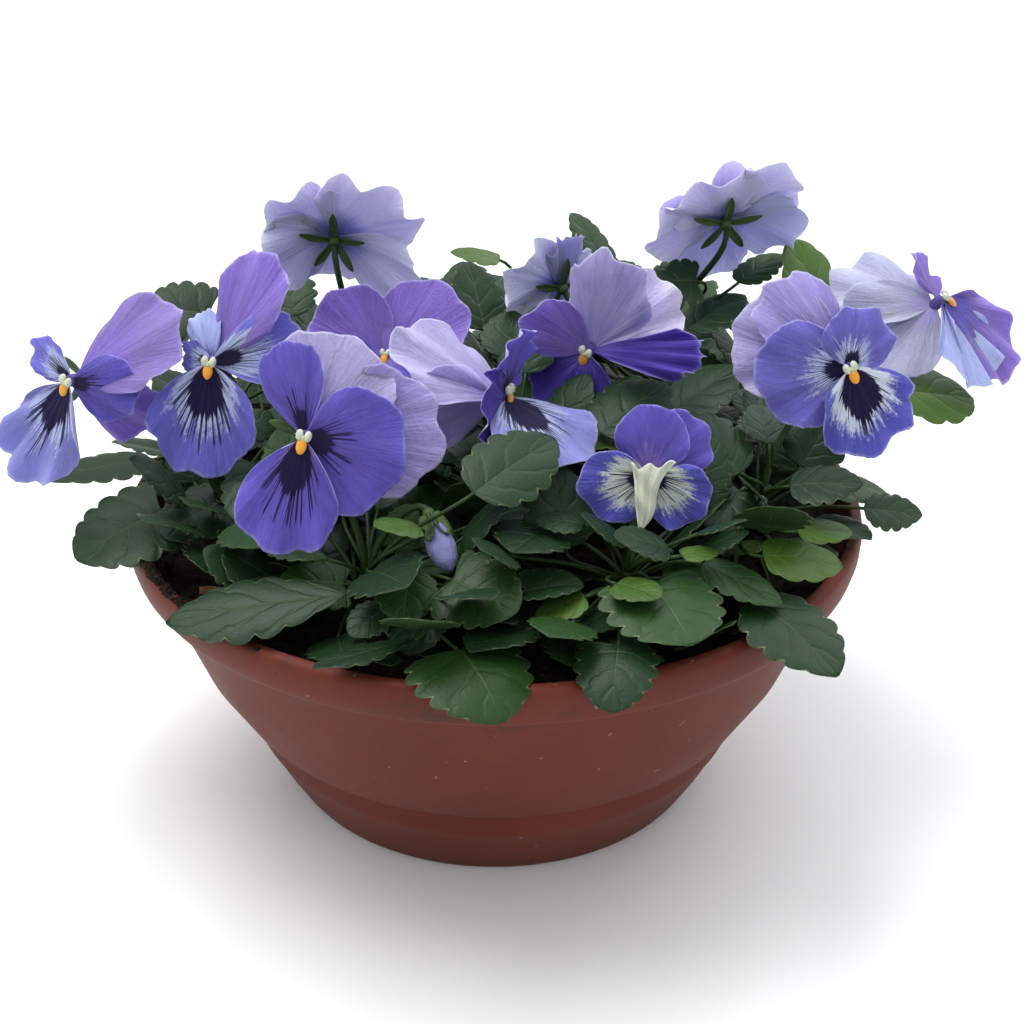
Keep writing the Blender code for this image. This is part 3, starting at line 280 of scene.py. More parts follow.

# %% [markdown]
# ## The twelve blooms
# Each bloom has its own stance. Some face the viewer, some are seen edge-on, and three at the back show
# their undersides. The list gives them one by one, because no rule would give the same lively disorder.

# %% Blooms
BLOOMS = [
    Bloom("bloom_far_left", "shoot_left", (-150, -32, 177), -125, 8, [
        petal("upper", 58, 44, 40, lean=-32, roll=-26, bend=-8, wave=1.8, phase=1, paint="pale_mauve"),
        petal("upper", -30, 34, 26, lean=-34, roll=-10, bend=-16, wave=2.5, phase=2, paint="mauve"),
        petal("lateral", 158, 22, 16, lean=4, roll=10, bend=-10, paint="pale_wing"),
        petal("lateral", -2, 27, 24, lean=-8, bend=-25, cup=-2, wave=1.6, paint="violet"),
        petal("lower", 252, 40, 34, lean=12, bend=20, wave=3.2, waves=4, phase=1, paint="blue_lip"),
    ]),
    Bloom("bloom_left", "shoot_left", (-100, -32, 184), -98, 16, [
        petal("upper", 66, 44, 32, lean=-12, roll=-30, bend=10, wave=1.5, phase=2, paint="mauve"),
        petal("upper", 112, 20, 14, lean=-18, bend=-20, paint="pale_blue"),
        petal("lateral", 168, 14, 12, lean=-12, bend=-30, paint="pale_wing"),
        petal("lateral", 16, 35, 26, lean=-6, bend=-10, wave=1.5, paint="pale_wing"),
        petal("lower", 264, 40, 39, lean=4, bend=-8, wave=1.6, phase=2, paint="pale_lip"),
    ]),
    Bloom("bloom_front", "shoot_front_left", (-63, -78, 177), -94, 20, [
        petal("upper", 4, 46, 44, lean=-20, bend=8, phase=1, paint="lavender"),
        petal("upper", 66, 38, 42, lean=-14, bend=-5, wave=2, waves=4, paint="pale"),
        petal("lateral", 104, 33, 23, lean=-4, bend=-8, paint="violet"),
        petal("lateral", -16, 35, 42, lean=0, bend=-14, wave=1.2, phase=2, paint="violet"),
        petal("lower", 257, 41, 34, lean=6, bend=-14, wave=1.6, waves=4, phase=1, paint="violet_lip"),
    ]),
    Bloom("bloom_centre_left", "shoot_back_left", (-41, 8, 169), -95, 42, [
        petal("upper", 146, 33, 34, lean=10, bend=22, cup=3, paint="mauve"),
        petal("upper", 44, 36, 36, lean=4, bend=10, cup=2, phase=2, paint="mauve"),
        petal("lateral", 200, 22, 22, lean=14, bend=15, paint="violet_plain"),
        petal("lateral", -20, 22, 22, lean=12, bend=10, paint="violet_plain"),
        petal("lower", 265, 22, 24, lean=20, bend=10, paint="violet_plain"),
    ]),
    Bloom("bloom_centre", "shoot_centre", (3, -36, 172), -20, 6, [
        petal("upper", 188, 36, 34, lean=-55, roll=-8, bend=-6, wave=2.2, phase=2, paint="pale"),
        petal("upper", 102, 43, 40, lean=-45, roll=8, bend=-8, wave=2.2, waves=4, phase=1, paint="pale"),
        petal("lateral", 64, 26, 24, lean=16, bend=6, wave=1.8, waves=5, paint="violet"),
        petal("lateral", 186, 24, 32, lean=4, bend=-6, wave=2, waves=5, paint="deep"),
        petal("lower", 266, 38, 40, lean=66, roll=26, bend=-8, wave=1.8, phase=1, paint="blue_lip"),
    ]),
    Bloom("bloom_centre_right", "shoot_back_right", (35, 0, 175), -125, -4, [
        petal("upper", 46, 38, 32, lean=-26, bend=-4, wave=2, waves=4, paint="bright"),
        petal("upper", 72, 40, 34, lean=-8, roll=8, bend=12, wave=2, waves=4, phase=1, paint="pale"),
        petal("lateral", 9, 52, 25, lean=6, roll=-48, bend=-4, wave=2.8, waves=5, paint="deep"),
        petal("lateral", 150, 28, 24, lean=20, roll=20, bend=24, paint="mauve"),
        petal("lower", 252, 30, 34, lean=16, bend=14, wave=1.5, paint="deep"),
    ]),
    Bloom("bloom_right", "shoot_right", (125, -32, 182), -82, 12, [
        petal("upper", 160, 43, 40, lean=-20, bend=-6, wave=1.8, waves=5, paint="pale"),
        petal("upper", 132, 41, 30, lean=-14, bend=-6, wave=1.5, phase=1, paint="lavender"),
        petal("lateral", 190, 33, 38, lean=-4, bend=-12, wave=1.4, waves=4, phase=2, paint="mixed_wing"),
        petal("lateral", 70, 22, 26, lean=-3, bend=-16, wave=1.8, waves=5, paint="mixed_wing"),
        petal("lower", 294, 33, 34, lean=7, bend=-10, wave=2.2, waves=5, phase=1, paint="white_lip"),
    ]),
    Bloom("bloom_small_front", "shoot_front_right", (52, -74, 161), -92, 10, [
        petal("upper", 40, 26, 24, lean=-14, bend=-10, wave=1.5, waves=4, paint="violet_plain"),
        petal("upper", 84, 23, 25, lean=-6, bend=-6, wave=1.5, phase=1, paint="violet_plain"),
        petal("lateral", -36, 25, 23, lean=0, bend=-14, phase=2, paint="white_wing"),
        petal("lateral", 202, 24, 26, lean=3, bend=-14, paint="white_wing"),
        petal("lower", 262, 21, 10, lean=22, bend=-24, cup=3.0, wave=0.4, paint="cream_lip"),
    ]),
    Bloom("bloom_far_right", "shoot_far_right", (166, 12, 190), -10, 44, [
        petal("upper", 96, 40, 38, lean=-42, roll=-24, bend=-6, wave=2.2, waves=4, paint="white_fan"),
        petal("upper", 150, 38, 40, lean=-52, bend=-6, wave=2.2, waves=4, phase=1, paint="white_fan"),
        petal("lateral", 48, 22, 18, lean=4, bend=8, wave=2.2, paint="mauve"),
        petal("lateral", 254, 37, 32, lean=-4, roll=24, bend=-8, wave=2.2, waves=4, paint="pale_blue"),
        petal("lower", 283, 42, 36, lean=6, roll=28, bend=-6, wave=2.4, waves=4, phase=2, paint="mauve_fan"),
    ]),
    Bloom("bloom_top_left", "shoot_back_left", (-62, 52, 203), 92, 20, [
        petal("upper", 202, 41, 30, lean=-18, bend=-32, wave=2.5, paint="bright"),
        petal("upper", 132, 39, 40, lean=-12, bend=-12, wave=3.2, waves=4, phase=1, paint="bright"),
        petal("lateral", 46, 31, 34, lean=-8, bend=-14, wave=2.8, waves=4, paint="bright"),
        petal("lateral", -12, 33, 34, lean=-16, bend=-30, wave=2.4, paint="bright"),
        petal("lower", 292, 28, 32, lean=0, bend=10, wave=2.4, paint="bright"),
    ]),
    Bloom("bloom_top_right", "shoot_back_right", (88, 50, 211), 98, 24, [
        petal("upper", 66, 32, 38, lean=-8, bend=-22, wave=3.2, waves=4, paint="bright"),
        petal("upper", 122, 34, 38, lean=-4, bend=-16, wave=3.2, waves=4, phase=1, paint="bright"),
        petal("lateral", 178, 32, 30, lean=-10, bend=-26, wave=2.6, paint="pale_blue"),
        petal("lateral", -6, 32, 32, lean=-6, bend=-30, wave=2.4, paint="bright"),
        petal("lower", 276, 31, 30, lean=0, bend=-20, wave=2.2, paint="pale_blue"),
    ]),
    Bloom("bloom_back", "shoot_back", (24, 58, 180), 120, 10, [
        petal("upper", 86, 26, 17, lean=-8, bend=-10, wave=1.5, paint="deep"),
        petal("upper", 26, 32, 33, lean=-10, bend=-10, wave=2.4, phase=1, paint="sky_back"),
        petal("lateral", 166, 20, 20, lean=-4, bend=10, wave=1.5, paint="sky_back"),
        petal("lateral", -24, 28, 26, lean=-6, bend=-20, wave=2, paint="sky_back"),
        petal("lower", 268, 21, 22, lean=8, bend=-16, wave=1.5, paint="pale_blue"),
    ]),
]
print("blooms:", len(BLOOMS), "petals:", sum(len(bloom.petals) for bloom in BLOOMS))

# %% [markdown]
# ## Bud, stems and leaves
# Ten stems stand in the compost. The leaves that show are listed one by one, and a rule fills the gaps
# between them.

# %% Bud and stems
BUDS = [Bud("bud_front", "shoot_front_left", (-20, -86, 146), -62, -42, 15, 5.0)]

SHOOTS = [
    Shoot("shoot_left", (-88, -34), (-104, -30, 140)),
    Shoot("shoot_front_left", (-48, -78), (-42, -84, 130)),
    Shoot("shoot_centre", (4, -20), (8, -14, 142)),
    Shoot("shoot_front_right", (44, -76), (46, -82, 128)),
    Shoot("shoot_right", (92, -28), (100, -30, 134)),
    Shoot("shoot_far_right", (98, 34), (114, 32, 142)),
    Shoot("shoot_back_right", (62, 62), (70, 64, 150)),
    Shoot("shoot_back", (8, 66), (10, 70, 146)),
    Shoot("shoot_back_left", (-52, 50), (-56, 50, 148)),
    Shoot("shoot_far_left", (-92, 32), (-104, 30, 136)),
]
print("stems:", len(SHOOTS))

# %% Leaves listed one by one
LEAVES = [
    leaf("front_left", "long", (-49, -103, 131), 182, -6, 62, 28, tilt=-20, droop=8, fold=4),
    leaf("left", "round", (-122, -34, 126), -145, -16, 36, 42, tilt=-12, droop=12),
    leaf("far_left", "oval", (-131, 0, 130), -150, 8, 40, 26),
    leaf("left", "round", (-101, -36, 130), -147, -16, 24, 30),
    leaf("left", "round", (-84, -38, 146), -107, -22, 26, 26, droop=10),
    leaf("front_left", "long", (-56, -90, 137), 157, 6, 26, 14),
    leaf("front_left", "young", (-25, -94, 145), -178, 5, 19, 18),
    leaf("front_left", "oval", (-28, -99, 138), -97, -30, 20, 22),
    leaf("front_left", "oval", (-36, -106, 128), -140, -20, 16, 16),
    leaf("front_left", "oval", (-24, -106, 128), -105, -26, 18, 21),
    leaf("front_left", "long", (-26, -120, 124), -160, 2, 36, 16, tilt=10, droop=4),
    leaf("front_left", "round", (-12, -126, 124), -62, 0, 33, 42, droop=50, fold=0),
    leaf("front_left", "round", (-14, -104, 137), -35, -8, 26, 32, tilt=10),
    leaf("front_left", "round", (10, -103, 140), 16, 5, 22, 22, fold=22),
    leaf("front_right", "young", (30, -103, 134), -165, -12, 18, 18),
    leaf("front_right", "young", (40, -108, 138), -35, 8, 17, 17),
    leaf("front_left", "oval", (-7, -88, 149), 40, 18, 44, 34, tilt=12),
    leaf("front_right", "oval", (24, -80, 144), 100, 52, 32, 28, droop=6),
    leaf("front_right", "round", (52, -104, 136), -68, -16, 30, 43, droop=8, fold=4),
    leaf("front_right", "round", (40, -124, 120), -98, -2, 26, 28, droop=44, fold=2),
    leaf("front_right", "oval", (70, -90, 135), -22, -12, 30, 22),
    leaf("right", "young", (92, -81, 131), 10, -8, 28, 24, tilt=10),
    leaf("right", "oval", (105, -60, 125), 15, -8, 19, 18),
    leaf("right", "oval", (88, -94, 124), -50, -10, 40, 36, droop=16),
    leaf("right", "oval", (134, -40, 130), -8, -2, 21, 20, tilt=18, droop=4),
    leaf("right", "round", (122, -24, 132), 14, -8, 26, 28),
    leaf("right", "oval", (89, -37, 143), 140, 30, 34, 32, tilt=-12),
    leaf("right", "round", (88, -44, 139), -125, -12, 22, 24, tilt=-10),
    leaf("right", "long", (101, -14, 146), 100, 34, 26, 12, fold=18),
    leaf("right", "oval", (112, -22, 136), 96, 34, 26, 24),
    leaf("right", "oval", (106, -42, 140), -12, 14, 26, 24, tilt=12),
    leaf("right", "young", (108, -54, 128), 5, 4, 20, 19),
    leaf("right", "young", (96, -52, 130), -160, 0, 14, 10),
    leaf("front_right", "oval", (88, -82, 136), 152, 10, 28, 24, tilt=-14),
    leaf("front_right", "young", (62, -98, 143), 15, 5, 13, 11),
    leaf("front_right", "oval", (58, -94, 135), 165, 5, 26, 22, tilt=-12),
    leaf("far_right", "young", (148, -12, 170), -2, 6, 42, 34, tilt=26, droop=8),
    leaf("far_right", "young", (131, 42, 177), 140, 54, 33, 36, droop=6),
    leaf("back_right", "round", (78, 40, 199), -170, 6, 22, 26, tilt=-34),
    leaf("back", "young", (2, 72, 184), 175, 15, 20, 18),
    leaf("back", "long", (-11, 60, 182), -155, -8, 30, 14),
    leaf("centre", "oval", (-4, 34, 169), 98, 50, 30, 26),
    leaf("centre", "oval", (14, 4, 152), 84, 52, 30, 30),
    leaf("centre", "round", (-16, -10, 140), 170, 24, 34, 34, tilt=-24),
    leaf("centre", "oval", (-30, -36, 134), -160, 14, 34, 30, tilt=-20),
    leaf("back_right", "oval", (75, 30, 171), 30, 26, 28, 26),
    leaf("back_right", "oval", (95, 44, 181), 30, 28, 22, 20),
    leaf("right", "oval", (66, -6, 152), 24, 26, 32, 28, tilt=8),
    leaf("centre", "oval", (38, -32, 156), 38, 26, 34, 34, tilt=8),
    leaf("far_left", "round", (-112, 44, 172), -172, 12, 26, 30, tilt=-36),
    leaf("left", "oval", (-100, -22, 134), -122, -10, 32, 30, tilt=-10),
    leaf("far_left", "oval", (-113, 10, 143), 150, 44, 26, 24),
    leaf("far_right", "young", (148, 6, 142), 20, 34, 18, 14),
]
print("leaves placed by hand:", len(LEAVES))

# %% [markdown]
# ## The shape of a petal
# A petal is a fan: straight lines run from its narrow claw to its edge. A point on it needs only two
# numbers, rho from claw to edge and phi from side to side, and the same function serves a coarse sheet
# and a fine one.

# %% Petals as fans
CLAW = 1.2
PETAL_LAYERS = (-3.0, -1.8, -0.6, 0.5, 1.5)
WIDEST_FAN = 86
FAN_GAIN, SLIMMEST = 85, 0.255
CORNER, CORNER_POWER = 88.6, 0.4
EDGE_SWAY, EDGE_JAG = 0.046, 0.019
RUFFLES, RUFFLE_HEIGHT = 12.0, 0.95
PLEATS, PLEAT_HEIGHT = 19.0, 0.40


def petal_points(bloom, spec, rho, phi, frill=0.0):
    """Points of a petal at rho, 0 at its claw to 1 at its edge, and phi, -1 to 1 from side to side.
    frill adds the fine ruffles of the edge."""
    along, out = ray_on_face(bloom, spec.turn)
    side = turned(np.cross(along, out), along, spec.roll)
    normal = turned(out, along, spec.roll)
    along, normal = turned(along, side, spec.lean), turned(normal, side, spec.lean)
    spread = math.radians(min(WIDEST_FAN, FAN_GAIN * (spec.width / spec.length - SLIMMEST)))
    edge = spec.length * np.cos(phi * math.radians(CORNER)) ** CORNER_POWER
    sway = np.sin(5 * phi + spec.turn) * np.sin(9 * phi + 3 * spec.phase)
    jag = np.sin(31 * phi + spec.turn) * np.sin(47 * phi + spec.phase)
    edge = edge * (1 + frill * (EDGE_SWAY * sway + EDGE_JAG * jag))
    radius = CLAW + (edge - CLAW) * rho
    x, y = radius * np.sin(phi * spread), radius * np.cos(phi * spread)
    z = spec.cup * (2 * x / spec.width) ** 2 * rho
    z = z + spec.wave * rho**3 * np.sin(spec.waves * math.pi * phi + spec.phase)
    swell = 0.6 + 0.4 * np.sin(9 * phi + spec.turn)
    ruffle = swell * np.sin(RUFFLES * phi + spec.turn) + 0.45 * np.sin(2.3 * RUFFLES * phi + 2 * spec.phase)
    pleat = np.sin(PLEATS * phi + 5 * np.sin(3 * phi + spec.turn))
    z = z + frill * RUFFLE_HEIGHT * rho**5 * ruffle
    z = z + frill * PLEAT_HEIGHT * rho * (1.2 - rho) * pleat
    y, z = bent(y, z, spec.length, spec.bend)
    centre = np.array(bloom.at) + out * PETAL_LAYERS[bloom.petals.index(spec)]
    return centre + x[..., None] * side + y[..., None] * along + z[..., None] * normal


def petal_sheet(bloom, spec, rows=((0, 2), (0.55, 4), (1, 7))):
    """A petal's open sheet, in rows from its claw outwards, each with its own number of points."""
    points, faces, inner = [], [], None
    for rho, count in rows:
        outer = range(len(points), len(points) + count)
        phi = np.linspace(-1, 1, count)
        points.extend(petal_points(bloom, spec, np.full(count, float(rho)), phi))
        if inner:
            faces += stitched(inner, outer)
        inner = outer
    return np.array(points), faces


def stitched(near, far):
    """Triangles between two rows of points that run side by side."""
    near, far = list(near), list(far)
    near_steps, far_steps = len(near) - 1, len(far) - 1
    faces, i, j = [], 0, 0
    while i < near_steps or j < far_steps:
        if i == near_steps or (j < far_steps and (j + 0.5) / far_steps <= (i + 0.5) / near_steps):
            faces.append((near[i], far[j], far[j + 1]))
            j += 1
        else:
            faces.append((near[i], far[j], near[i + 1]))
            i += 1
    return faces


print("layers of a bloom, in mm along its face:", PETAL_LAYERS)

# %% [markdown]
# ## The shape of a leaf
# A blade is laid out from its midrib: along it from base to tip, and across it to a scalloped rim. It
# folds along the midrib, droops towards its tip and rises a little between its side veins.

# %% Leaves from midrib to rim
PETIOLE_RADIUS = 1.0
STALK_FOOT_LEVEL = 113.0
STALK_FOOT_SPREAD = 6.0
LARGE_LEAF = 35.0
SMALL_LEAF = 23.0
VEINS = 4
VEIN_SLANT, VEIN_CROWDING = 1.3, 0.8
MIDRIB_CROWDING = 1.15
SAG = 0.10


def leaf_axes(spec):
    """Across, along and out of a blade, at its base."""
    along = direction(spec.azimuth, spec.elevation)
    flat = turned(unit(np.cross(along, [0, 0, 1])), along, spec.tilt)
    return flat, along, np.cross(flat, along)


def leaf_points(spec, side, across, edge, teeth, depth, puff=0.0):
    """Points of a blade at edge, 0 at its base to 1 at its tip, and across, 0 on the midrib to 1 on the rim.
    side is 1 for the right half and -1 for the left, and puff lifts the blade between its veins."""
    form = FORMS[spec.form]
    notch = 1 - np.abs(np.sin(teeth * math.pi * edge)) ** 0.6
    scallop = 1 - depth * notch * np.sin(math.pi * edge) ** 0.3
    rim_x = 0.5 * spec.width * np.sin(math.pi * edge**form.shift) ** form.blunt * scallop
    lobe = form.lobe * spec.length * np.sin(math.pi * edge) * (1 - edge) ** 3
    rim_y = spec.length * edge - lobe
    mid_y = spec.length * edge**MIDRIB_CROWDING
    x, y = side * rim_x * across, mid_y + (rim_y - mid_y) * across
    z = np.abs(x) * math.tan(math.radians(spec.fold)) - SAG * spec.width * (2 * x / spec.width) ** 2
    between = np.abs(np.sin(math.pi * (VEINS * edge**VEIN_CROWDING - VEIN_SLANT * across)))
    inner = np.sin(math.pi * np.minimum(across, 1)) ** 0.7
    z = z + puff * (between**0.6 - 0.6) * inner * np.sin(math.pi * edge) ** 0.5
    z = z + puff * 0.8 * np.sin(7 * edge + spec.tilt) * np.sin(4 * side * across + spec.fold) * across**2
    y, z = bent(y, z, spec.length, -spec.droop)
    flat, along, normal = leaf_axes(spec)
    return np.array(spec.base) + x[..., None] * flat + y[..., None] * along + z[..., None] * normal


def leaf_sheet(spec, stalk=()):
    """A blade's open sheet, folded on the midrib and scalloped, with its stalk as a strip if given."""
    form = FORMS[spec.form]
    teeth = 2 + (spec.length > SMALL_LEAF) + (spec.length > LARGE_LEAF)
    flat = leaf_axes(spec)[0]
    places = [spec.base, spec.base, *leaf_points(spec, 1, np.zeros(2), np.array([0.5, 1.0]), teeth, 0)]
    points = list(np.array(places) + np.outer([PETIOLE_RADIUS, -PETIOLE_RADIUS, 0, 0], flat))
    faces = [(0, 2, 1)]
    rim = np.arange(1, 2 * teeth) / (2 * teeth)
    for side, root in ((1, 0), (-1, 1)):
        far = [root, *range(len(points), len(points) + len(rim)), 3]
        points.extend(leaf_points(spec, side, np.ones(rim.shape), rim, teeth, 2 * form.depth))
        strip = [face for face in stitched([root, 2, 3], far) if len(set(face)) == 3]
        faces += [face[::side] for face in strip]
    outer = (0, 1)
    for place, before in zip(stalk[-2::-1], stalk[:0:-1]):
        ahead = unit(before - place)
        level = flat - ahead * np.dot(flat, ahead)
        across = PETIOLE_RADIUS * unit(level + 0.01 * np.cross(ahead, [0, 0, 1]))
        inner = (len(points), len(points) + 1)
        points += [place + across, place - across]
        faces += [(inner[0], outer[0], inner[1]), (inner[1], outer[0], outer[1])]
        outer = inner
    return np.array(points), faces


print("veins on each side of a leaf:", VEINS)

# %% [markdown]
# ## Stems, stalks and calyxes
# A stem rises upright out of the compost and then leans. Leaf stalks leave it low and arch outwards,
# flower stalks leave its top and hook over, so that a pansy nods from behind its own head.

# %% Stems and stalks
STEM_FOOT_LEVEL = 90.0
SOIL_CENTRE_LEVEL = 109.0
SOIL_EDGE_LEVEL = 103.5
CALYX_DEPTH = 4.8
SWEPT_BACK, CALYX_RETREAT = 30, 0.1
SEPAL_LENGTH, SEPAL_WIDTH, SEPAL_RING = 12.0, 4.4, 2.0
FLOWER_STALK_GAP = 2.2


def stem_path(shoot, count=5):
    """A stem's middle line: upright in its hole in the compost, then leaning out to its top."""
    foot, mouth = (*shoot.root, STEM_FOOT_LEVEL), (*shoot.root, SOIL_CENTRE_LEVEL + 3)
    arrive = np.array([0, 0, 5]) + 5 * unit(np.subtract(shoot.top, mouth))
    rise = curved(mouth, np.array([0, 0, 8]), arrive, shoot.top, count)
    return np.concatenate([[foot], rise])


def leaf_stalk_path(shoot, spec, count=3):
    """A leaf's stalk, from as high on the stem as lets it rise to the blade."""
    stem = stem_path(shoot)
    base = np.array(spec.base, float)
    reach = np.linalg.norm(base[:2] - stem[-1][:2])
    low = STALK_FOOT_LEVEL + abs(7 * base[0] + 3 * base[1]) % STALK_FOOT_SPREAD
    level = min(max(base[2] - 4 - 0.5 * reach, low), stem[-1][2] - 0.4)
    start = np.array([np.interp(level, stem[:, 2], stem[:, axis]) for axis in range(3)])
    start += 0.6 * direction(spec.azimuth, 0)
    span = np.linalg.norm(base - start)
    leave = 0.35 * span * unit(unit(base - start) + (0, 0, 0.8))
    return curved(start, leave, 0.3 * span * direction(spec.azimuth, spec.elevation), base, count)


def calyx_depth(flower):
    """How far behind a flower's centre its calyx begins: farther where petals are swept back."""
    swept = -min((each.lean for each in getattr(flower, "petals", ())), default=0)
    return CALYX_DEPTH + CALYX_RETREAT * max(0, swept - SWEPT_BACK)


def flower_stalk_path(shoot, flower, sideways=0.0, hook=12.0, count=6):
    """A flower's stalk: it rises from the top of the stem and bends over to meet the flower's back."""
    right, _, out = axes_facing(flower.azimuth, flower.elevation)
    start = stem_path(shoot)[-2] + 0.6 * unit(np.subtract(flower.at, shoot.top) * (1, 1, 0))
    end = np.array(flower.at) - out * (calyx_depth(flower) + FLOWER_STALK_GAP)
    span = np.linalg.norm(end - start)
    leave = np.array([0, 0, 0.5 * span]) + right * sideways
    return curved(start, leave, out * hook + (0, 0, 0.12 * span), end, count)


def sepal_root(flower, ray, out, ring):
    """Where a sepal springs from the calyx."""
    return np.array(flower.at) - out * (calyx_depth(flower) + 0.8) + ray * ring


def sepal_sheet(flower, turn, lean):
    """A sepal's open sheet: a narrow pointed blade that springs from the calyx."""
    ray, out = ray_on_face(flower, turn)
    side = np.cross(ray, out)
    along = turned(ray, side, lean)
    root = sepal_root(flower, ray, out, SEPAL_RING)
    stations = ((0.0, 0.27), (0.45, 0.5))
    points = [root + along * SEPAL_LENGTH * t + side * SEPAL_WIDTH * w * s for t, w in stations
              for s in (-1, 1)]
    points.append(root + along * SEPAL_LENGTH)
    return np.array(points), [(0, 2, 1), (1, 2, 3), (2, 4, 3)]


print("first stem runs from", stem_path(SHOOTS[0])[0].round(1), "to", stem_path(SHOOTS[0])[-1].round(1), "mm")

# %% [markdown]
# ## Finding room for every leaf
# Leaves that pass through petals look wrong at once. So each piece is tested against all that has grown
# before it, with a bounding volume tree, and a leaf that finds no room is nudged, raised or left out.

# %% Thick sheets, tubes and tests for room
RIM_RADIUS = 140.0
POT_HEIGHT = 117.0
LIP = 5.5
RIM_PROFILE = (
    (128, 98), (131.2, 103), (RIM_RADIUS - LIP, POT_HEIGHT - 2), (RIM_RADIUS - LIP + 1, POT_HEIGHT),
    (RIM_RADIUS - 1.6, POT_HEIGHT - 0.6), (RIM_RADIUS, POT_HEIGHT - 5), (RIM_RADIUS - 2.5, POT_HEIGHT - 14.5),
    (RIM_RADIUS - 9, POT_HEIGHT - 18), (125, 83),
)
CLEARANCE = 0.7
Grown = namedtuple("Grown", "owner kind low high tree")
JOINED = ("stem", "stalk", "calyx")


def thickened(points, faces, half):
    """The closed solid, as points and triangles, of an open sheet given this half thickness."""
    count = len(points)
    normals = np.zeros_like(points)
    edges = set()
    for a, b, c in faces:
        normals[[a, b, c]] += np.cross(points[b] - points[a], points[c] - points[a])
        for edge in ((a, b), (b, c), (c, a)):
            edges.symmetric_difference_update({edge} if edge[::-1] not in edges else {edge[::-1]})
    normals /= np.maximum(np.linalg.norm(normals, axis=1), 1e-9)[:, None]
    solid = np.concatenate([points + normals * half, points - normals * half])
    sides = [(a, b + count, b) for a, b in edges] + [(a, a + count, b + count) for a, b in edges]
    return solid, list(faces) + [(a + count, c + count, b + count) for a, b, c in faces] + sides


def tube(path, radius, sides=4):
    """A tube round a path, as points and triangles."""
    rings, faces = [], []
    for index, point in enumerate(path):
        ahead = unit(path[min(index + 1, len(path) - 1)] - path[max(index - 1, 0)])
        side = unit(np.cross(ahead, [0.3, 0.2, 1.0]))
        rings += [point + radius * turned(side, ahead, 360 * k / sides) for k in range(sides)]
    for ring in range(len(path) - 1):
        for k in range(sides):
            a, b = ring * sides + k, ring * sides + (k + 1) % sides
            faces += [(a, b, a + sides), (b, b + sides, a + sides)]
    for start in (0, len(rings) - sides):
        faces += [(start, start + k, start + k + 1) for k in range(1, sides - 1)]
    return np.array(rings), faces


class Garden:
    """All that has grown so far, for finding room for the next piece."""

    def __init__(self):
        self.grown = []

    def has_room(self, owner, kind, solid, faces):
        tree = BVHTree.FromPolygons(solid.tolist(), faces)
        low, high = solid.min(axis=0), solid.max(axis=0)
        for other in self.grown:
            woody = {kind, other.kind} <= set(JOINED)
            joined = woody or kind == "stalk end" or kind == other.kind == "petal"
            if other.owner == owner and joined:
                continue
            if np.any(other.low > high) or np.any(other.high < low):
                continue
            if tree.overlap(other.tree):
                return False
        return True

    def add(self, owner, kind, solid, faces):
        tree = BVHTree.FromPolygons(solid.tolist(), faces)
        self.grown.append(Grown(owner, kind, solid.min(axis=0), solid.max(axis=0), tree))

    def sheet_fits(self, owner, kind, sheet, thickness):
        return self.has_room(owner, kind, *thickened(*sheet, thickness / 2 + CLEARANCE))

    def tube_fits(self, owner, path, radius, kind="stalk"):
        return self.has_room(owner, kind, *tube(path, radius + CLEARANCE))


def turned_surface(profile, sides=48):
    """The surface that a profile of radii and heights sweeps, as points and triangles."""
    points, faces = [], []
    for k in range(sides):
        angle = 2 * math.pi * k / sides
        points += [(r * math.cos(angle), r * math.sin(angle), z) for r, z in profile]
    count = len(profile)
    for k in range(sides):
        after = (k + 1) % sides
        for i in range(count - 1):
            a, b = k * count + i, after * count + i
            faces += [(a, b, a + 1), (b, b + 1, a + 1)]
    return np.array(points), faces


print("a stem joins its own:", ", ".join(JOINED))

# %% Growing the plants
LEAF_THICKNESS = PETAL_THICKNESS = 0.8
STEM_RADIUS, STALK_RADIUS = 2.4, 1.2
FILLER_TRIES = 46
FILLER_REACH = 112.0
FILLER_STALK = 42.0
FILLER_LEVEL = 118.0
FILLER_LENGTHS = (24, 38)
GOLDEN_ANGLE = 137.5
CROWN_LEVEL = 166.0
CROWN_FALL = 0.0030
CROWN_DEPTH = 18.0
MOST_BACKWARD = -0.1
STALK_WAYS = ((0, 12), (0, 18), (8, 12), (-8, 12), (14, 16), (-14, 16), (22, 18), (-22, 18), (0, 26),
              (34, 22), (-34, 22))
NUDGES = ((0, 6, 0), (0, 0, 4), (8, 0, 0), (-8, 0, 0), (0, -6, 0), (0, 0, -4),
          (8, 6, 2), (-8, 6, 2), (8, -6, -2), (-8, -6, -2))


def nudges():
    """Small changes of azimuth, elevation, tilt, place and size, the smallest first."""
    yield 0, 0, 0, 0, 1.0
    for size in (1, 2, 3, 4):
        for azimuth, elevation, lift in NUDGES:
            for tilt in (0, 12, -12):
                yield size * azimuth, size * elevation, tilt, size * lift, 1.0 - 0.06 * (size - 1)


def settled_leaf(garden, shoot, spec):
    """The leaf bent clear of all that has grown, with its stalk, or None where it finds no room."""
    for azimuth, elevation, tilt, lift, size in nudges():
        x, y, z = spec.base
        trial = spec._replace(base=(x, y, z + lift), azimuth=spec.azimuth + azimuth, tilt=spec.tilt + tilt,
                              elevation=spec.elevation + elevation, length=spec.length * size,
                              width=spec.width * size)
        path = leaf_stalk_path(shoot, trial)
        if np.dot(unit(path[2] - path[0]), direction(trial.azimuth, trial.elevation)) < MOST_BACKWARD:
            continue
        if not garden.sheet_fits(shoot.name, "blade", leaf_sheet(trial), LEAF_THICKNESS):
            continue
        if not garden.tube_fits(shoot.name, path[:-1], PETIOLE_RADIUS):
            continue
        if garden.tube_fits(shoot.name, path[1:], PETIOLE_RADIUS, "stalk end"):
            return trial, path
    return None


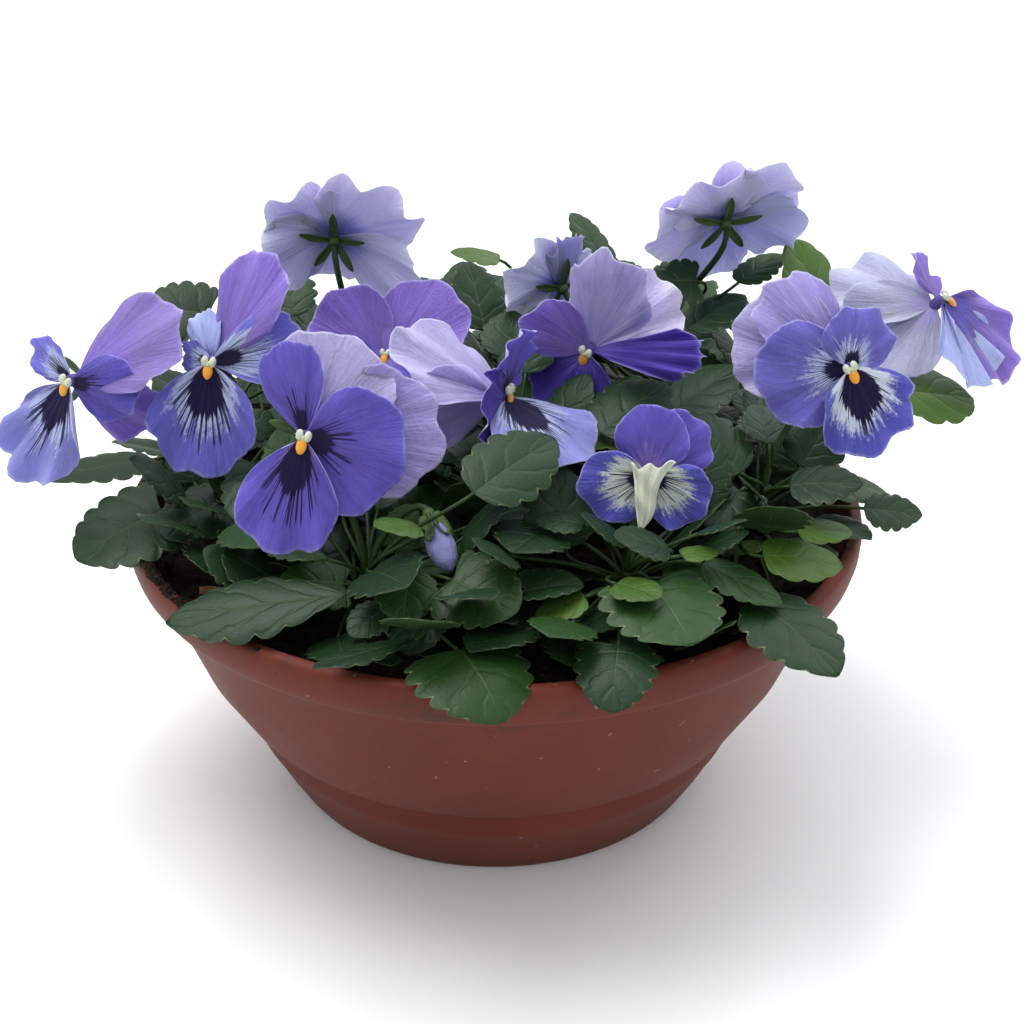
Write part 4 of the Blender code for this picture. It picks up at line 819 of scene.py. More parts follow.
def grow_leaf(garden, shoot, spec, kept):
    """Adds a leaf to the garden and to those kept, if it finds room."""
    found = settled_leaf(garden, shoot, spec)
    if found is None:
        return
    blade, path = found
    garden.add(shoot.name, "blade", *thickened(*leaf_sheet(blade), LEAF_THICKNESS / 2))
    garden.add(shoot.name, "stalk", *tube(path, PETIOLE_RADIUS))
    kept[shoot.name].append(blade)


def nearest_shoot(place, most):
    """The shoot whose top is nearest to a place in plan, or None where all are farther than most."""
    shoot = min(SHOOTS, key=lambda each: math.dist(each.top[:2], place[:2]))
    return None if math.dist(shoot.top[:2], place[:2]) > most else shoot


def filler_leaves(draw):
    """Leaves for the gaps: spread by the golden angle, under a low dome, on the nearest stems."""
    for index in range(FILLER_TRIES):
        spread = FILLER_REACH * math.sqrt((index + 0.5) / FILLER_TRIES)
        place = direction(GOLDEN_ANGLE * index, 0) * spread
        shoot = nearest_shoot(place, FILLER_STALK)
        if shoot is None:
            continue
        place[2] = max(CROWN_LEVEL - CROWN_FALL * spread**2 - draw.uniform(0, CROWN_DEPTH), FILLER_LEVEL)
        away = place[:2] - shoot.top[:2] + 0.25 * place[:2]
        azimuth = math.degrees(math.atan2(away[1], away[0])) + draw.uniform(-20, 20)
        length = draw.uniform(*FILLER_LENGTHS)
        form = draw.choice(("oval", "oval", "round", "young"))
        elevation, width = draw.uniform(0, 40), length * draw.uniform(0.75, 0.95)
        tilt, droop, fold = draw.uniform(-12, 12), draw.uniform(6, 20), draw.uniform(2, 14)
        yield Leaf(shoot.name, form, tuple(place), azimuth, elevation, length, width, tilt, droop, fold)


def grow(garden):
    """Every stalk's sway, sepal and leaf in its place: the plan that all the fine pieces are made from."""
    garden.add("pot", "pot", *turned_surface(RIM_PROFILE))
    garden.add("soil", "soil", *turned_surface(((0.1, SOIL_CENTRE_LEVEL + 1.5), (80, SOIL_CENTRE_LEVEL),
                                                (131, SOIL_EDGE_LEVEL + 1.5))))
    shoots = {shoot.name: shoot for shoot in SHOOTS}
    for bud in BUDS:
        reach = direction(bud.azimuth, bud.elevation) * bud.length
        garden.add(bud.name, "bud", *tube([np.array(bud.at), bud.at + reach], bud.radius, 6))
    for bloom in BLOOMS:
        for spec in bloom.petals:
            garden.add(bloom.name, "petal", *thickened(*petal_sheet(bloom, spec), PETAL_THICKNESS / 2))
    for shoot in SHOOTS:
        garden.add(shoot.name, "stem", *tube(stem_path(shoot)[2:], STEM_RADIUS, 6))

    stalks, sepals = {}, {}
    for flower in BLOOMS + BUDS:
        shoot = shoots[flower.shoot]
        for sideways, hook in STALK_WAYS:
            path = flower_stalk_path(shoot, flower, sideways, hook)
            if garden.tube_fits(shoot.name, path, STALK_RADIUS):
                break
        else:
            print("no clear way for the stalk of", flower.name)
        garden.add(shoot.name, "stalk", *tube(path, STALK_RADIUS, 5))
        stalks[flower.name] = (sideways, hook)
    for bloom in BLOOMS:
        sepals[bloom.name] = []
        for turn in range(18, 378, 72):
            for lean in range(-14, -80, -6):
                sheet = sepal_sheet(bloom, turn, lean)
                if garden.sheet_fits(bloom.shoot, "calyx", sheet, LEAF_THICKNESS):
                    break
            garden.add(bloom.shoot, "calyx", *thickened(*sheet, LEAF_THICKNESS / 2))
            sepals[bloom.name].append((turn, lean))

    leaves = {shoot.name: [] for shoot in SHOOTS}
    for spec in LEAVES + list(filler_leaves(random.Random(7))):
        grow_leaf(garden, shoots[spec.shoot], spec, leaves)
    return stalks, sepals, leaves


garden = Garden()
stalk_ways, sepal_leans, grown_leaves = grow(garden)
shoots = {shoot.name: shoot for shoot in SHOOTS}
print("leaves that found room:", sum(len(kept) for kept in grown_leaves.values()))

# %% [markdown]
# ## The understory
# Between the stalks a pansy carries many small leaves that nobody counts, but that hide the compost.
# They are sown last, low down and close to the stems, and only where the test finds room.

# %% Understory leaves
UNDER_TRIES = 320
UNDER_START = 60
UNDER_REACH = 124.0
UNDER_STALK = 50.0
UNDER_LOWEST = 116
UNDER_CROWN, UNDER_BACK_RISE, UNDER_FALL = 158, 0.34, 0.0022
UNDER_LENGTHS = (17, 31)


def sow_understory(garden, draw):
    """Small low leaves, spread by the golden angle, each on the nearest stem."""
    sown = {shoot.name: [] for shoot in SHOOTS}
    for index in range(UNDER_TRIES):
        spread = math.sqrt((index + 0.5) / UNDER_TRIES)
        place = direction(GOLDEN_ANGLE * index + UNDER_START, 0) * UNDER_REACH * spread
        shoot = nearest_shoot(place, UNDER_STALK)
        if shoot is None:
            continue
        crown = UNDER_CROWN + UNDER_BACK_RISE * max(0, place[1]) - UNDER_FALL * np.dot(place, place)
        place[2] = draw.uniform(UNDER_LOWEST, crown)
        away = place[:2] - shoot.top[:2]
        azimuth = math.degrees(math.atan2(away[1], away[0])) + draw.uniform(-35, 35)
        length = draw.uniform(*UNDER_LENGTHS)
        form = draw.choice(("round", "oval", "oval"))
        elevation, width = draw.uniform(5, 55), length * draw.uniform(0.8, 1.05)
        tilt, droop, fold = draw.uniform(-25, 25), draw.uniform(6, 24), draw.uniform(2, 14)
        spec = Leaf(shoot.name, form, tuple(place), azimuth, elevation, length, width, tilt, droop, fold)
        grow_leaf(garden, shoot, spec, sown)
    return sown


understory = sow_understory(garden, random.Random(31))
print("understory leaves:", sum(len(kept) for kept in understory.values()))

# %% [markdown]
# ## Building fine skins
# Petals and leaves are thin closed skins. A grid of points is thickened along its own normals, thinner
# at the rim, and its two faces are joined round the edge. Every point also carries numbers that its
# material reads later: its place on its own petal or leaf, and its tints. This paints a pattern that
# stays with the form, from any side.

# %% Skins that carry their own paint
class Skin:
    """Gathers sheets and tubes into one mesh, with named values at every point."""

    def __init__(self):
        self.points, self.faces, self.values, self.count = [], [], {}, 0

    def add(self, points, faces, **values):
        self.points.append(points)
        self.faces.extend([corner + self.count for corner in face] for face in faces)
        for name, value in values.items():
            value = np.asarray(value, float)
            self.values.setdefault(name, []).append(np.broadcast_to(value, (len(points), value.shape[-1])))
        self.count += len(points)

    def make(self, name, material, replaced, slot_name):
        mesh = bpy.data.meshes.new(name)
        mesh.from_pydata((np.concatenate(self.points) * MM).tolist(), [], self.faces)
        for label, rows in self.values.items():
            layer = mesh.attributes.new(label, "FLOAT_VECTOR", "POINT")
            layer.data.foreach_set("vector", np.concatenate(rows).astype(np.float32).ravel())
        mesh.polygons.foreach_set("use_smooth", np.ones(len(mesh.polygons), bool))
        mesh.materials.append(material)
        made = bpy.data.objects.new(name, mesh)
        bpy.context.scene.collection.objects.link(made)
        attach(made, "root")
        if replaced:
            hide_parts(*replaced)
        return made


def closed_sheet(grid, half):
    """A thin closed skin round a grid of points; half is its half thickness at each of them."""
    rows, columns, _ = grid.shape
    normal = np.cross(np.gradient(grid, axis=1), np.gradient(grid, axis=0))
    normal /= np.maximum(np.linalg.norm(normal, axis=2), 1e-9)[..., None]
    lift = normal * np.asarray(half)[..., None]
    points = np.concatenate([(grid + lift).reshape(-1, 3), (grid - lift).reshape(-1, 3)])
    index = np.arange(rows * columns).reshape(rows, columns)
    top = np.stack([index[:-1, :-1], index[:-1, 1:], index[1:, 1:], index[1:, :-1]], axis=-1).reshape(-1, 4)
    ring = np.concatenate([index[0, :-1], index[:-1, -1], index[-1, :0:-1], index[:0:-1, 0]])
    after, below = np.roll(ring, -1), rows * columns
    side = np.stack([after, ring, ring + below, after + below], axis=-1)
    return points, np.concatenate([top, top[:, ::-1] + below, side]).tolist()


def ring_faces(rings, sides):
    """The faces of a closed skin of rings, one after another, with a cap at each end."""
    index = np.arange(rings * sides).reshape(rings, sides)
    after = np.roll(index, -1, axis=1)
    faces = np.stack([index[:-1], after[:-1], after[1:], index[1:]], axis=-1).reshape(-1, 4).tolist()
    return faces + [index[0, ::-1].tolist(), index[-1].tolist()]


def twice(values):
    """The same value for both faces of a closed sheet."""
    flat = values.reshape(-1, values.shape[-1])
    return np.concatenate([flat, flat])


def round_tube(path, radii, sides=10):
    """A closed tube round a smooth path, with the places round and along it."""
    count = len(path)
    radii = np.interp(np.linspace(0, 1, count), np.linspace(0, 1, len(radii)), radii)
    ahead = np.gradient(np.asarray(path), axis=0)
    ahead /= np.linalg.norm(ahead, axis=1)[:, None]
    side = np.cross(ahead, [0.3, 0.2, 1.0])
    side /= np.linalg.norm(side, axis=1)[:, None]
    up = np.cross(side, ahead)
    turn = 2 * math.pi * np.arange(sides) / sides
    ring = np.cos(turn)[None, :, None] * side[:, None] + np.sin(turn)[None, :, None] * up[:, None]
    points = np.asarray(path)[:, None] + ring * radii[:, None, None]
    place = np.broadcast_arrays((turn / math.pi - 1)[None], np.linspace(0, 1, count)[:, None], 0.0)
    return points.reshape(-1, 3), ring_faces(count, sides), np.stack(place, axis=-1).reshape(-1, 3)


print("a square tube of 2 rings has", len(ring_faces(2, 4)), "faces")

# %% [markdown]
# ## Words for painting with nodes
# A procedural material is a sum of small steps: read a value, stretch a noise over it, compare, mix.
# The helper below names those steps, so that each material further down reads like a recipe.

# %% A small kit for node materials
class Recipe:
    """A material's node tree, built step by step."""

    def __init__(self, name, roughness, **fixed):
        self.material = bpy.data.materials.new(name)
        self.material.use_nodes = True
        self.nodes, self.links = self.material.node_tree.nodes, self.material.node_tree.links
        self.shader = self.nodes["Principled BSDF"]
        self.shader.inputs["Roughness"].default_value = roughness
        for label, value in fixed.items():
            self.shader.inputs[label.replace("_", " ")].default_value = value

    def feed(self, socket, value):
        if isinstance(value, bpy.types.NodeSocket):
            self.links.new(value, socket)
        elif isinstance(value, tuple) and len(value) == 3 and socket.type == "RGBA":
            socket.default_value = (*value, 1.0)
        else:
            socket.default_value = value

    def read(self, name):
        """The values that a skin carries under this name, as a vector."""
        node = self.nodes.new("ShaderNodeAttribute")
        node.attribute_name = name
        return node.outputs["Vector"]

    def object_place(self):
        return self.nodes.new("ShaderNodeTexCoord").outputs["Object"]

    def split(self, vector):
        node = self.nodes.new("ShaderNodeSeparateXYZ")
        self.feed(node.inputs[0], vector)
        return node.outputs[0], node.outputs[1], node.outputs[2]

    def vector(self, x, y, z):
        node = self.nodes.new("ShaderNodeCombineXYZ")
        for socket, value in zip(node.inputs, (x, y, z)):
            self.feed(socket, value)
        return node.outputs[0]

    def sum(self, operation, a, b=0.0, clamp=False):
        node = self.nodes.new("ShaderNodeMath")
        node.operation = operation
        node.use_clamp = clamp
        self.feed(node.inputs[0], a)
        self.feed(node.inputs[1], b)
        return node.outputs[0]

    def times(self, a, b):
        return self.sum("MULTIPLY", a, b)

    def plus(self, first, *rest):
        total = first
        for value in rest:
            total = self.sum("ADD", total, value)
        return total

    def less(self, a, b):
        return self.plus(a, self.times(b, -1.0))

    def cells(self, vector, scale):
        """0 on the borders of small irregular cells, rising towards their middles."""
        node = self.nodes.new("ShaderNodeTexVoronoi")
        node.feature = "DISTANCE_TO_EDGE"
        self.feed(node.inputs["Vector"], vector)
        node.inputs["Scale"].default_value = scale
        return node.outputs["Distance"]

    def noise(self, vector, scale, detail=3.0, rough=0.5):
        node = self.nodes.new("ShaderNodeTexNoise")
        self.feed(node.inputs["Vector"], vector)
        node.inputs["Scale"].default_value = scale
        node.inputs["Detail"].default_value = detail
        node.inputs["Roughness"].default_value = rough
        return node.outputs["Fac"]

    def rise(self, value, low, high):
        """0 below low, 1 above high and a smooth step between."""
        node = self.nodes.new("ShaderNodeMapRange")
        node.interpolation_type = "SMOOTHSTEP"
        self.feed(node.inputs["Value"], value)
        self.feed(node.inputs["From Min"], low)
        self.feed(node.inputs["From Max"], high)
        return node.outputs["Result"]

    def fall(self, value, low, high):
        """1 below low, 0 above high and a smooth step between."""
        return self.less(1.0, self.rise(value, low, high))

    def mix(self, share, a, b):
        node = self.nodes.new("ShaderNodeMix")
        node.data_type = "RGBA"
        self.feed(node.inputs[0], share)
        self.feed(node.inputs[6], a)
        self.feed(node.inputs[7], b)
        return node.outputs[2]

    def shade(self, colour, amount):
        """A colour made lighter or darker: multiplied by a grey amount."""
        node = self.nodes.new("ShaderNodeVectorMath")
        node.operation = "SCALE"
        self.feed(node.inputs[0], colour)
        self.feed(node.inputs["Scale"], amount)
        return node.outputs[0]

    def bump(self, height, strength, distance):
        node = self.nodes.new("ShaderNodeBump")
        node.inputs["Strength"].default_value = strength
        node.inputs["Distance"].default_value = distance
        self.feed(node.inputs["Height"], height)
        self.links.new(node.outputs[0], self.shader.inputs["Normal"])

    def done(self, colour, roughness=None):
        self.feed(self.shader.inputs["Base Color"], colour)
        if roughness is not None:
            self.feed(self.shader.inputs["Roughness"], roughness)
        return self.material


print("a recipe can:", ", ".join(word for word in vars(Recipe) if not word.startswith("_")))

# %% [markdown]
# ## Petal velvet
# A pansy petal is painted along its fan. Near-black whiskers run out of the throat, a pale zone
# surrounds them, and the ground colour carries faint streaks to a thin light rim. Stretched noises give
# all of these: a noise that is squeezed across the petal and long along it turns into lines that follow
# the veins. The underside is paler: partly the petal's own paler back, partly painted light that stands
# in for light shining through the thin petal.

# %% Petal velvet
RIM_LIGHT = (0.60, 0.61, 0.84)
BLOTCH_INK = (0.007, 0.004, 0.042)
# UNDERSIDE, the petals' back, is pale partly in its own right and partly as painted light that stands in for
# light shining through the thin petal.
UNDERSIDE = (0.60, 0.60, 0.95)
UNDERSIDE_FOOT = (0.090, 0.092, 0.40)


def petal_velvet():
    velvet = Recipe("petal velvet", 0.6, Sheen_Weight=0.08, Sheen_Roughness=0.4, Specular_IOR_Level=0.18,
                    Subsurface_Weight=0.62, Subsurface_Radius=(0.9, 0.85, 1.0), Subsurface_Scale=0.001)
    across, along, seed = velvet.split(velvet.read("place"))
    face, rim, blotch = velvet.split(velvet.read("finish"))
    pale_reach, whiskers, tone = velvet.split(velvet.read("pattern"))
    ground, pale = velvet.read("ground"), velvet.read("pale")

    def fan_noise(count, stretch, detail):
        """A noise with this many lines across the fan, stretched along it."""
        place = velvet.vector(velvet.times(across, count), velvet.times(along, stretch), seed)
        return velvet.noise(place, 1.0, detail, 0.6)

    broad = fan_noise(3.0, 1.6, 2.0)
    streak = fan_noise(13.0, 1.0, 4.0)
    fine = fan_noise(46.0, 2.5, 3.0)
    hair = fan_noise(30.0, 0.7, 1.5)
    crepe = fan_noise(24.0, 24.0, 4.0)

    # The ground, with broad clouds, streaks along the fan and slightly darker veins.
    light = velvet.plus(0.36, velvet.times(streak, 0.46), velvet.times(broad, 0.58),
                        velvet.times(crepe, 0.20))
    light = velvet.times(light, velvet.plus(0.86, velvet.times(along, 0.22)))
    base = velvet.shade(ground, velvet.times(light, tone))
    silver = velvet.times(velvet.rise(fan_noise(18.0, 5.0, 5.0), 0.50, 0.72), 0.30)
    base = velvet.mix(silver, base, velvet.shade(ground, 1.55))
    vein = velvet.times(velvet.rise(fine, 0.56, 0.68), 0.30)
    base = velvet.mix(vein, base, velvet.shade(base, 0.62))

    # The pale zone ends in streaks and specks, a little past where it ends on the whole.
    wander = velvet.plus(velvet.times(streak, 0.75), velvet.times(fine, 0.36), velvet.times(crepe, 0.42),
                         -0.765)
    edge = velvet.less(velvet.plus(pale_reach, wander), along)
    here = velvet.times(velvet.rise(edge, -0.10, 0.14), velvet.rise(pale_reach, 0.0, 0.1))
    pale_light = velvet.plus(0.78, velvet.times(fine, 0.26), velvet.times(crepe, 0.14))
    base = velvet.mix(here, base, velvet.shade(pale, pale_light))

    # The thin light rim, which comes and goes.
    lip = velvet.times(velvet.rise(along, 0.955, 1.0), velvet.times(rim, velvet.rise(streak, 0.30, 0.62)))
    base = velvet.mix(lip, base, RIM_LIGHT)

    # The blotch narrows towards the petal's sides, and its whiskers run on between the veins.
    narrow = velvet.plus(1.0, velvet.times(velvet.times(across, across), -1.1))
    depth = velvet.times(blotch, narrow)
    ragged = velvet.plus(depth, velvet.times(velvet.plus(hair, -0.5), 0.34))
    core = velvet.rise(velvet.less(ragged, along), -0.02, 0.03)
    tips = velvet.times(whiskers, velvet.plus(0.25, velvet.times(streak, 1.1)))
    inside = velvet.less(velvet.plus(depth, tips), along)
    lines = velvet.rise(velvet.plus(hair, velvet.times(inside, 0.42)), 0.57, 0.64)
    drawn = velvet.rise(inside, -0.01, 0.06)
    dark = velvet.sum("MAXIMUM", core, velvet.times(velvet.times(lines, drawn), 0.9))
    dark = velvet.times(dark, velvet.rise(blotch, 0.0, 0.05))
    front = velvet.mix(dark, base, BLOTCH_INK)

    # The underside: paler and greyer, partly its own colour and partly painted light for light shining
    # through the petal, and darker at its foot.
    under = velvet.mix(0.72, base, UNDERSIDE)
    foot = velvet.fall(along, 0.05, 0.46)
    under = velvet.mix(velvet.times(foot, 0.70), under, UNDERSIDE_FOOT)
    colour = velvet.mix(face, under, front)
    relief = velvet.plus(velvet.times(streak, 0.8), velvet.times(fine, 0.35), velvet.times(crepe, 0.35))
    velvet.bump(relief, 0.75, 0.0016)
    return velvet.done(colour)


velvet = petal_velvet()
print("petal velvet has", len(velvet.node_tree.nodes), "nodes")

# %% [markdown]
# ## Petals, thin and ruffled
# Each bloom becomes one skin of five petals, each far thinner than its solid and with fine ruffles at
# its rim. The columns of the grid crowd towards the petal's sides, where its outline turns most.

# %% Petals
PETAL_HALF = 0.20
PETAL_RHO = np.concatenate([np.linspace(0, 0.90, 15), [0.945, 0.98, 1.0]])
PETAL_PHI = np.sin(np.linspace(-math.pi / 2, math.pi / 2, 53))
THROAT_COLOUR = (0.10, 0.08, 0.30)
THROAT_RADII = (1.3, 2.1, 2.4, 2.0)
TONGUE_HALF_WIDTH = 7.2
TONGUE_TOP, TONGUE_TIP = -4.6, 19.0
TONGUE_LIFT = 5.4
TONGUE_HALF = 0.22
RIM_THINNING = 0.55


def add_petal(skin, bloom, spec, draw):
    paint = PAINTS[spec.paint]
    phi, rho = np.meshgrid(PETAL_PHI, PETAL_RHO)
    grid = petal_points(bloom, spec, rho, phi, paint.frill)
    half = PETAL_HALF * (1 - RIM_THINNING * rho**8)
    points, faces = closed_sheet(grid, half)
    seed = draw.uniform(0, 50)
    place = twice(np.stack([phi, rho, np.full_like(phi, seed)], axis=-1))
    face = np.repeat([1.0, 0.0], phi.size)
    finish = np.stack([face, np.full_like(face, paint.rim), np.full_like(face, paint.blotch)], axis=-1)
    pattern = (paint.pale_reach, paint.whiskers, draw.uniform(0.9, 1.08))
    skin.add(points, faces, place=place, finish=finish, pattern=pattern, ground=paint.ground, pale=paint.pale)


def add_throat(skin, bloom):
    """The short violet tube that the petals spring from."""
    out = direction(bloom.azimuth, bloom.elevation)
    back = np.array(bloom.at) - out * (calyx_depth(bloom) - 0.4)
    front = np.array(bloom.at) + out * 1.2
    path = [back + (front - back) * t for t in np.linspace(0, 1, 6)]
    points, faces, place = round_tube(path, THROAT_RADII, 12)
    skin.add(points, faces, place=place, finish=(1.0, 0.0, 0.0), pattern=(0.0, 0.0, 1.0),
             ground=THROAT_COLOUR, pale=THROAT_COLOUR)


def add_tongue(skin, bloom, spec, draw):
    """A lower petal that never opened: a ridged tongue, broad over the throat and pointed at its tip."""
    paint = PAINTS[spec.paint]
    down, out = ray_on_face(bloom, spec.turn)
    side = np.cross(down, out)
    across, t = np.meshgrid(np.linspace(-1, 1, 41), np.linspace(0, 1, 40))
    breadth = TONGUE_HALF_WIDTH * (1 - t) ** 0.8 * (0.90 + 0.16 * np.sin(7 * t + 2.4)) + 0.08
    twist = 2.6 * np.sin(4.4 * t + 0.5) * (0.3 + t) * (1 - t)
    x = across * breadth + twist - 1.2 * across**2 * (1 - t)
    top = (1 - t) ** 2 * (1.5 * across - 1.1 * np.sin(7 * across + 1))
    y = TONGUE_TOP + (TONGUE_TIP - TONGUE_TOP) * t + top
    ridges = 0.75 * np.sin(13 * t + 3 * across) * (1 - t) ** 0.5 + 0.35 * np.sin(9 * across)
    z = TONGUE_LIFT + ridges + 1.4 * np.sin(2.2 * t) - 2.4 * across**2 * (1 - 0.5 * t)
    grid = np.array(bloom.at) + x[..., None] * side + y[..., None] * down + z[..., None] * out
    points, faces = closed_sheet(grid, TONGUE_HALF * np.ones_like(t))
    place = twice(np.stack([across * 0.8, 0.2 + 0.7 * t, np.full_like(t, draw.uniform(0, 50))], axis=-1))
    skin.add(points, faces, place=place, finish=(1.0, 0.0, 0.0), pattern=(0.0, 0.0, 1.15),
             ground=paint.ground, pale=paint.pale)


draw = random.Random(11)
for bloom in BLOOMS:
    skin = Skin()
    for spec in bloom.petals:
        make_petal = add_tongue if spec.paint == "cream_lip" else add_petal
        make_petal(skin, bloom, spec, draw)
    add_throat(skin, bloom)
    made = skin.make(bloom.name.replace("bloom", "petals"), velvet, [bloom.name], "petals")
print("last bloom's faces:", len(made.data.polygons))

# %% [markdown]
# ## Eyes
# In the throat sits the style: a small cream-green knob with a tuft of pale hairs on each side, and
# under it the orange spot where the lower petal enters the throat. The three are lumps with their own
# tints and one fuzzy finish.

# %% Eye fuzz
def eye_fuzz():
    fuzz = Recipe("eye fuzz", 0.7, Sheen_Weight=0.3, Subsurface_Weight=0.1, Subsurface_Scale=0.001)
    place = fuzz.object_place()
    grain = fuzz.noise(place, 1800.0, 4.0, 0.65)
    colour = fuzz.shade(fuzz.read("ground"), fuzz.plus(0.72, fuzz.times(grain, 0.5)))
    fuzz.bump(grain, 0.6, 0.0004)
    return fuzz.done(colour)


fuzz = eye_fuzz()
print("eye fuzz is ready")

# %% Eyes
CREAM_GREEN = (0.55, 0.58, 0.26)
ORANGE = (0.93, 0.37, 0.012)
TUFT_COLOUR = (0.74, 0.76, 0.58)
TUFT_HAIRS = 26
TUFT_RADIUS = 0.15
SMALL_EYE, SMALL_LIP = 0.72, 25
EYE_FORWARD = 2.3


def add_lump(skin, centre, axes, colour, rows=9, sides=14):
    """An egg-shaped lump; axes are its three half axes as vectors."""
    turn, rise = np.meshgrid(2 * math.pi * np.arange(sides) / sides, np.linspace(-1.35, 1.35, rows))
    ring = np.stack([np.cos(rise) * np.cos(turn), np.cos(rise) * np.sin(turn), np.sin(rise)], axis=-1)
    points = np.asarray(centre) + ring.reshape(-1, 3) @ np.asarray(axes)
    skin.add(points, ring_faces(rows, sides), ground=colour)


def add_hair(skin, root, tip, radius, colour):
    ahead = unit(tip - root)
    side = unit(np.cross(ahead, [0.3, 0.2, 1.0]))
    ring = [root + radius * turned(side, ahead, 120 * k) for k in range(3)]
    skin.add(np.array(ring + [tip]), [[0, 2, 1], [0, 1, 3], [1, 2, 3], [2, 0, 3]], ground=colour)


def make_eye(bloom, draw):
    lower = bloom.petals[-1]
    down, out = ray_on_face(bloom, lower.turn)
    across = np.cross(out, down)
    small = SMALL_EYE if lower.length < SMALL_LIP else 1.0
    centre = np.array(bloom.at) + out * EYE_FORWARD - down * 0.05 * max(0, lower.lean - 12)
    skin = Skin()
    add_lump(skin, centre + (down * 2.9 + out * 0.5) * small,
             np.array([across * 1.8, out * 1.1, down * 2.9]) * small, ORANGE)
    add_lump(skin, centre + (out * 0.5 + down * 0.4) * small,
             np.array([across * 0.9, out * 1.2, down * 1.2]) * small, CREAM_GREEN)
    for side in (-1, 1):
        heart = centre + (across * side * 1.45 + out * 0.6 - down * 0.7) * small
        add_lump(skin, heart, np.array([across * 1.25, out * 1.2, down * 1.9]) * small, CREAM)
        for _ in range(TUFT_HAIRS):
            lean = unit(across * side * draw.uniform(-0.2, 1.0) + out * draw.uniform(0.2, 1.0)
                        + down * draw.uniform(-1.2, 1.2))
            add_hair(skin, heart + lean * 0.8 * small, heart + lean * draw.uniform(1.6, 2.3) * small,
                     TUFT_RADIUS, TUFT_COLOUR)
    return skin.make(bloom.name.replace("bloom", "style"), fuzz, [bloom.name.replace("bloom", "eye")], "eye")


for bloom in BLOOMS:
    made = make_eye(bloom, draw)
print("faces in an eye:", len(made.data.polygons))

# %% [markdown]
# ## Leaf green
# A pansy leaf is dark and a little glossy, with a pale midrib, side veins that sweep forward, and
# lighter specks at the notches of its rim. Young leaves are yellow-green. The veins are drawn from the
# place of a point on its blade: counting along the midrib and falling back with the distance across
# gives the sweep.

# %% Leaf green
MIDRIB_GREEN = (0.055, 0.090, 0.024)
RIM_GREEN = (0.08, 0.12, 0.040)
UNDER_GREEN = (0.045, 0.075, 0.032)


def leaf_green():
    green = Recipe("leaf green", 0.42, Specular_IOR_Level=0.26, Subsurface_Weight=0.04,
                   Subsurface_Scale=0.001)
    across, along, seed = green.split(green.read("place"))
    face, veined, tone = green.split(green.read("finish"))
    ground = green.read("ground")
    away = green.sum("ABSOLUTE", across)

    def blade_noise(wide, long, detail, rough=0.5):
        place = green.vector(green.times(across, wide), green.times(along, long), seed)
        return green.noise(place, 1.0, detail, rough)

    cloud = blade_noise(1.6, 3.0, 3.0)
    grain = blade_noise(18.0, 30.0, 4.0, 0.6)
    net = green.cells(green.object_place(), 620.0)

    # Side veins sweep forward from the midrib and fade before the rim.
    count = green.times(green.sum("POWER", along, VEIN_CROWDING), float(VEINS))
    count = green.plus(count, green.times(away, -VEIN_SLANT), green.times(green.plus(cloud, -0.5), 0.55))
    between = green.sum("ABSOLUTE", green.sum("SINE", green.times(count, math.pi)))
    side_vein = green.times(green.fall(between, 0.03, 0.16), green.fall(away, 0.25, 0.95))
    width = green.plus(0.055, green.times(along, -0.038))
    midrib = green.fall(away, 0.008, width)
    lace = green.fall(net, 0.02, 0.14)

    light = green.plus(0.42, green.times(cloud, 0.62), green.times(grain, 0.54))
    base = green.shade(ground, green.times(light, tone))
    base = green.mix(green.times(lace, 0.16), base, green.shade(ground, 1.9))
    base = green.mix(green.times(green.times(side_vein, 0.34), veined), base, green.shade(ground, 2.0))
    base = green.mix(green.times(green.times(midrib, 0.50), veined), base, MIDRIB_GREEN)
    rim = green.times(green.rise(away, 0.965, 1.0), veined)
    base = green.mix(green.times(rim, 0.22), base, RIM_GREEN)
    under = green.mix(0.50, base, UNDER_GREEN)
    colour = green.mix(face, under, base)

    # The blade swells between the veins, and a fine net covers the swellings.
    quilt = green.plus(green.times(green.rise(between, 0.0, 0.5), 0.42), green.times(midrib, -0.5))
    height = green.plus(green.times(quilt, veined), green.times(grain, 0.22),
                        green.times(green.rise(net, 0.0, 0.25), 0.06))
    green.bump(height, 0.40, 0.0010)
    return green.done(colour, green.plus(0.28, green.times(grain, 0.26)))


green = leaf_green()
print("leaf green has", len(green.node_tree.nodes), "nodes")

# %% [markdown]
# ## Leafy shoots
# Each shoot is one skin: its stem, its leaf stalks and leaves, its flower stalks, and the calyxes with
# five pointed sepals each. Every tooth of a leaf's rim gets the same few rows of the grid, and the
# small leaves of the understory get a coarser grid.

# %% Leaves
LEAF_HALF = 0.28
LEAF_ACROSS = np.array([0, 0.05, 0.13, 0.25, 0.40, 0.56, 0.71, 0.84, 0.93, 0.98, 1.0])
LEAF_ACROSS = np.concatenate([-LEAF_ACROSS[:0:-1], LEAF_ACROSS])
FEW_ACROSS = LEAF_ACROSS[[0, 2, 4, 7, 10, 13, 16, 18, 20]]
BLADE_START, BLADE_SPAN = 0.004, 0.992
STEPS_A_TOOTH, FEW_STEPS = 5, 4
STALK_RINGS, FEW_RINGS = 14, 8
SCALLOP = 1.9
PUFF = 0.011
DARK_LEAF = (0.0088, 0.0275, 0.0088)
FRESH_LEAF = (0.014, 0.044, 0.008)
YOUNG_LEAF = (0.046, 0.098, 0.012)
STALK_GREEN = (0.018, 0.040, 0.008)
GLAND = (0.13, 0.15, 0.06)


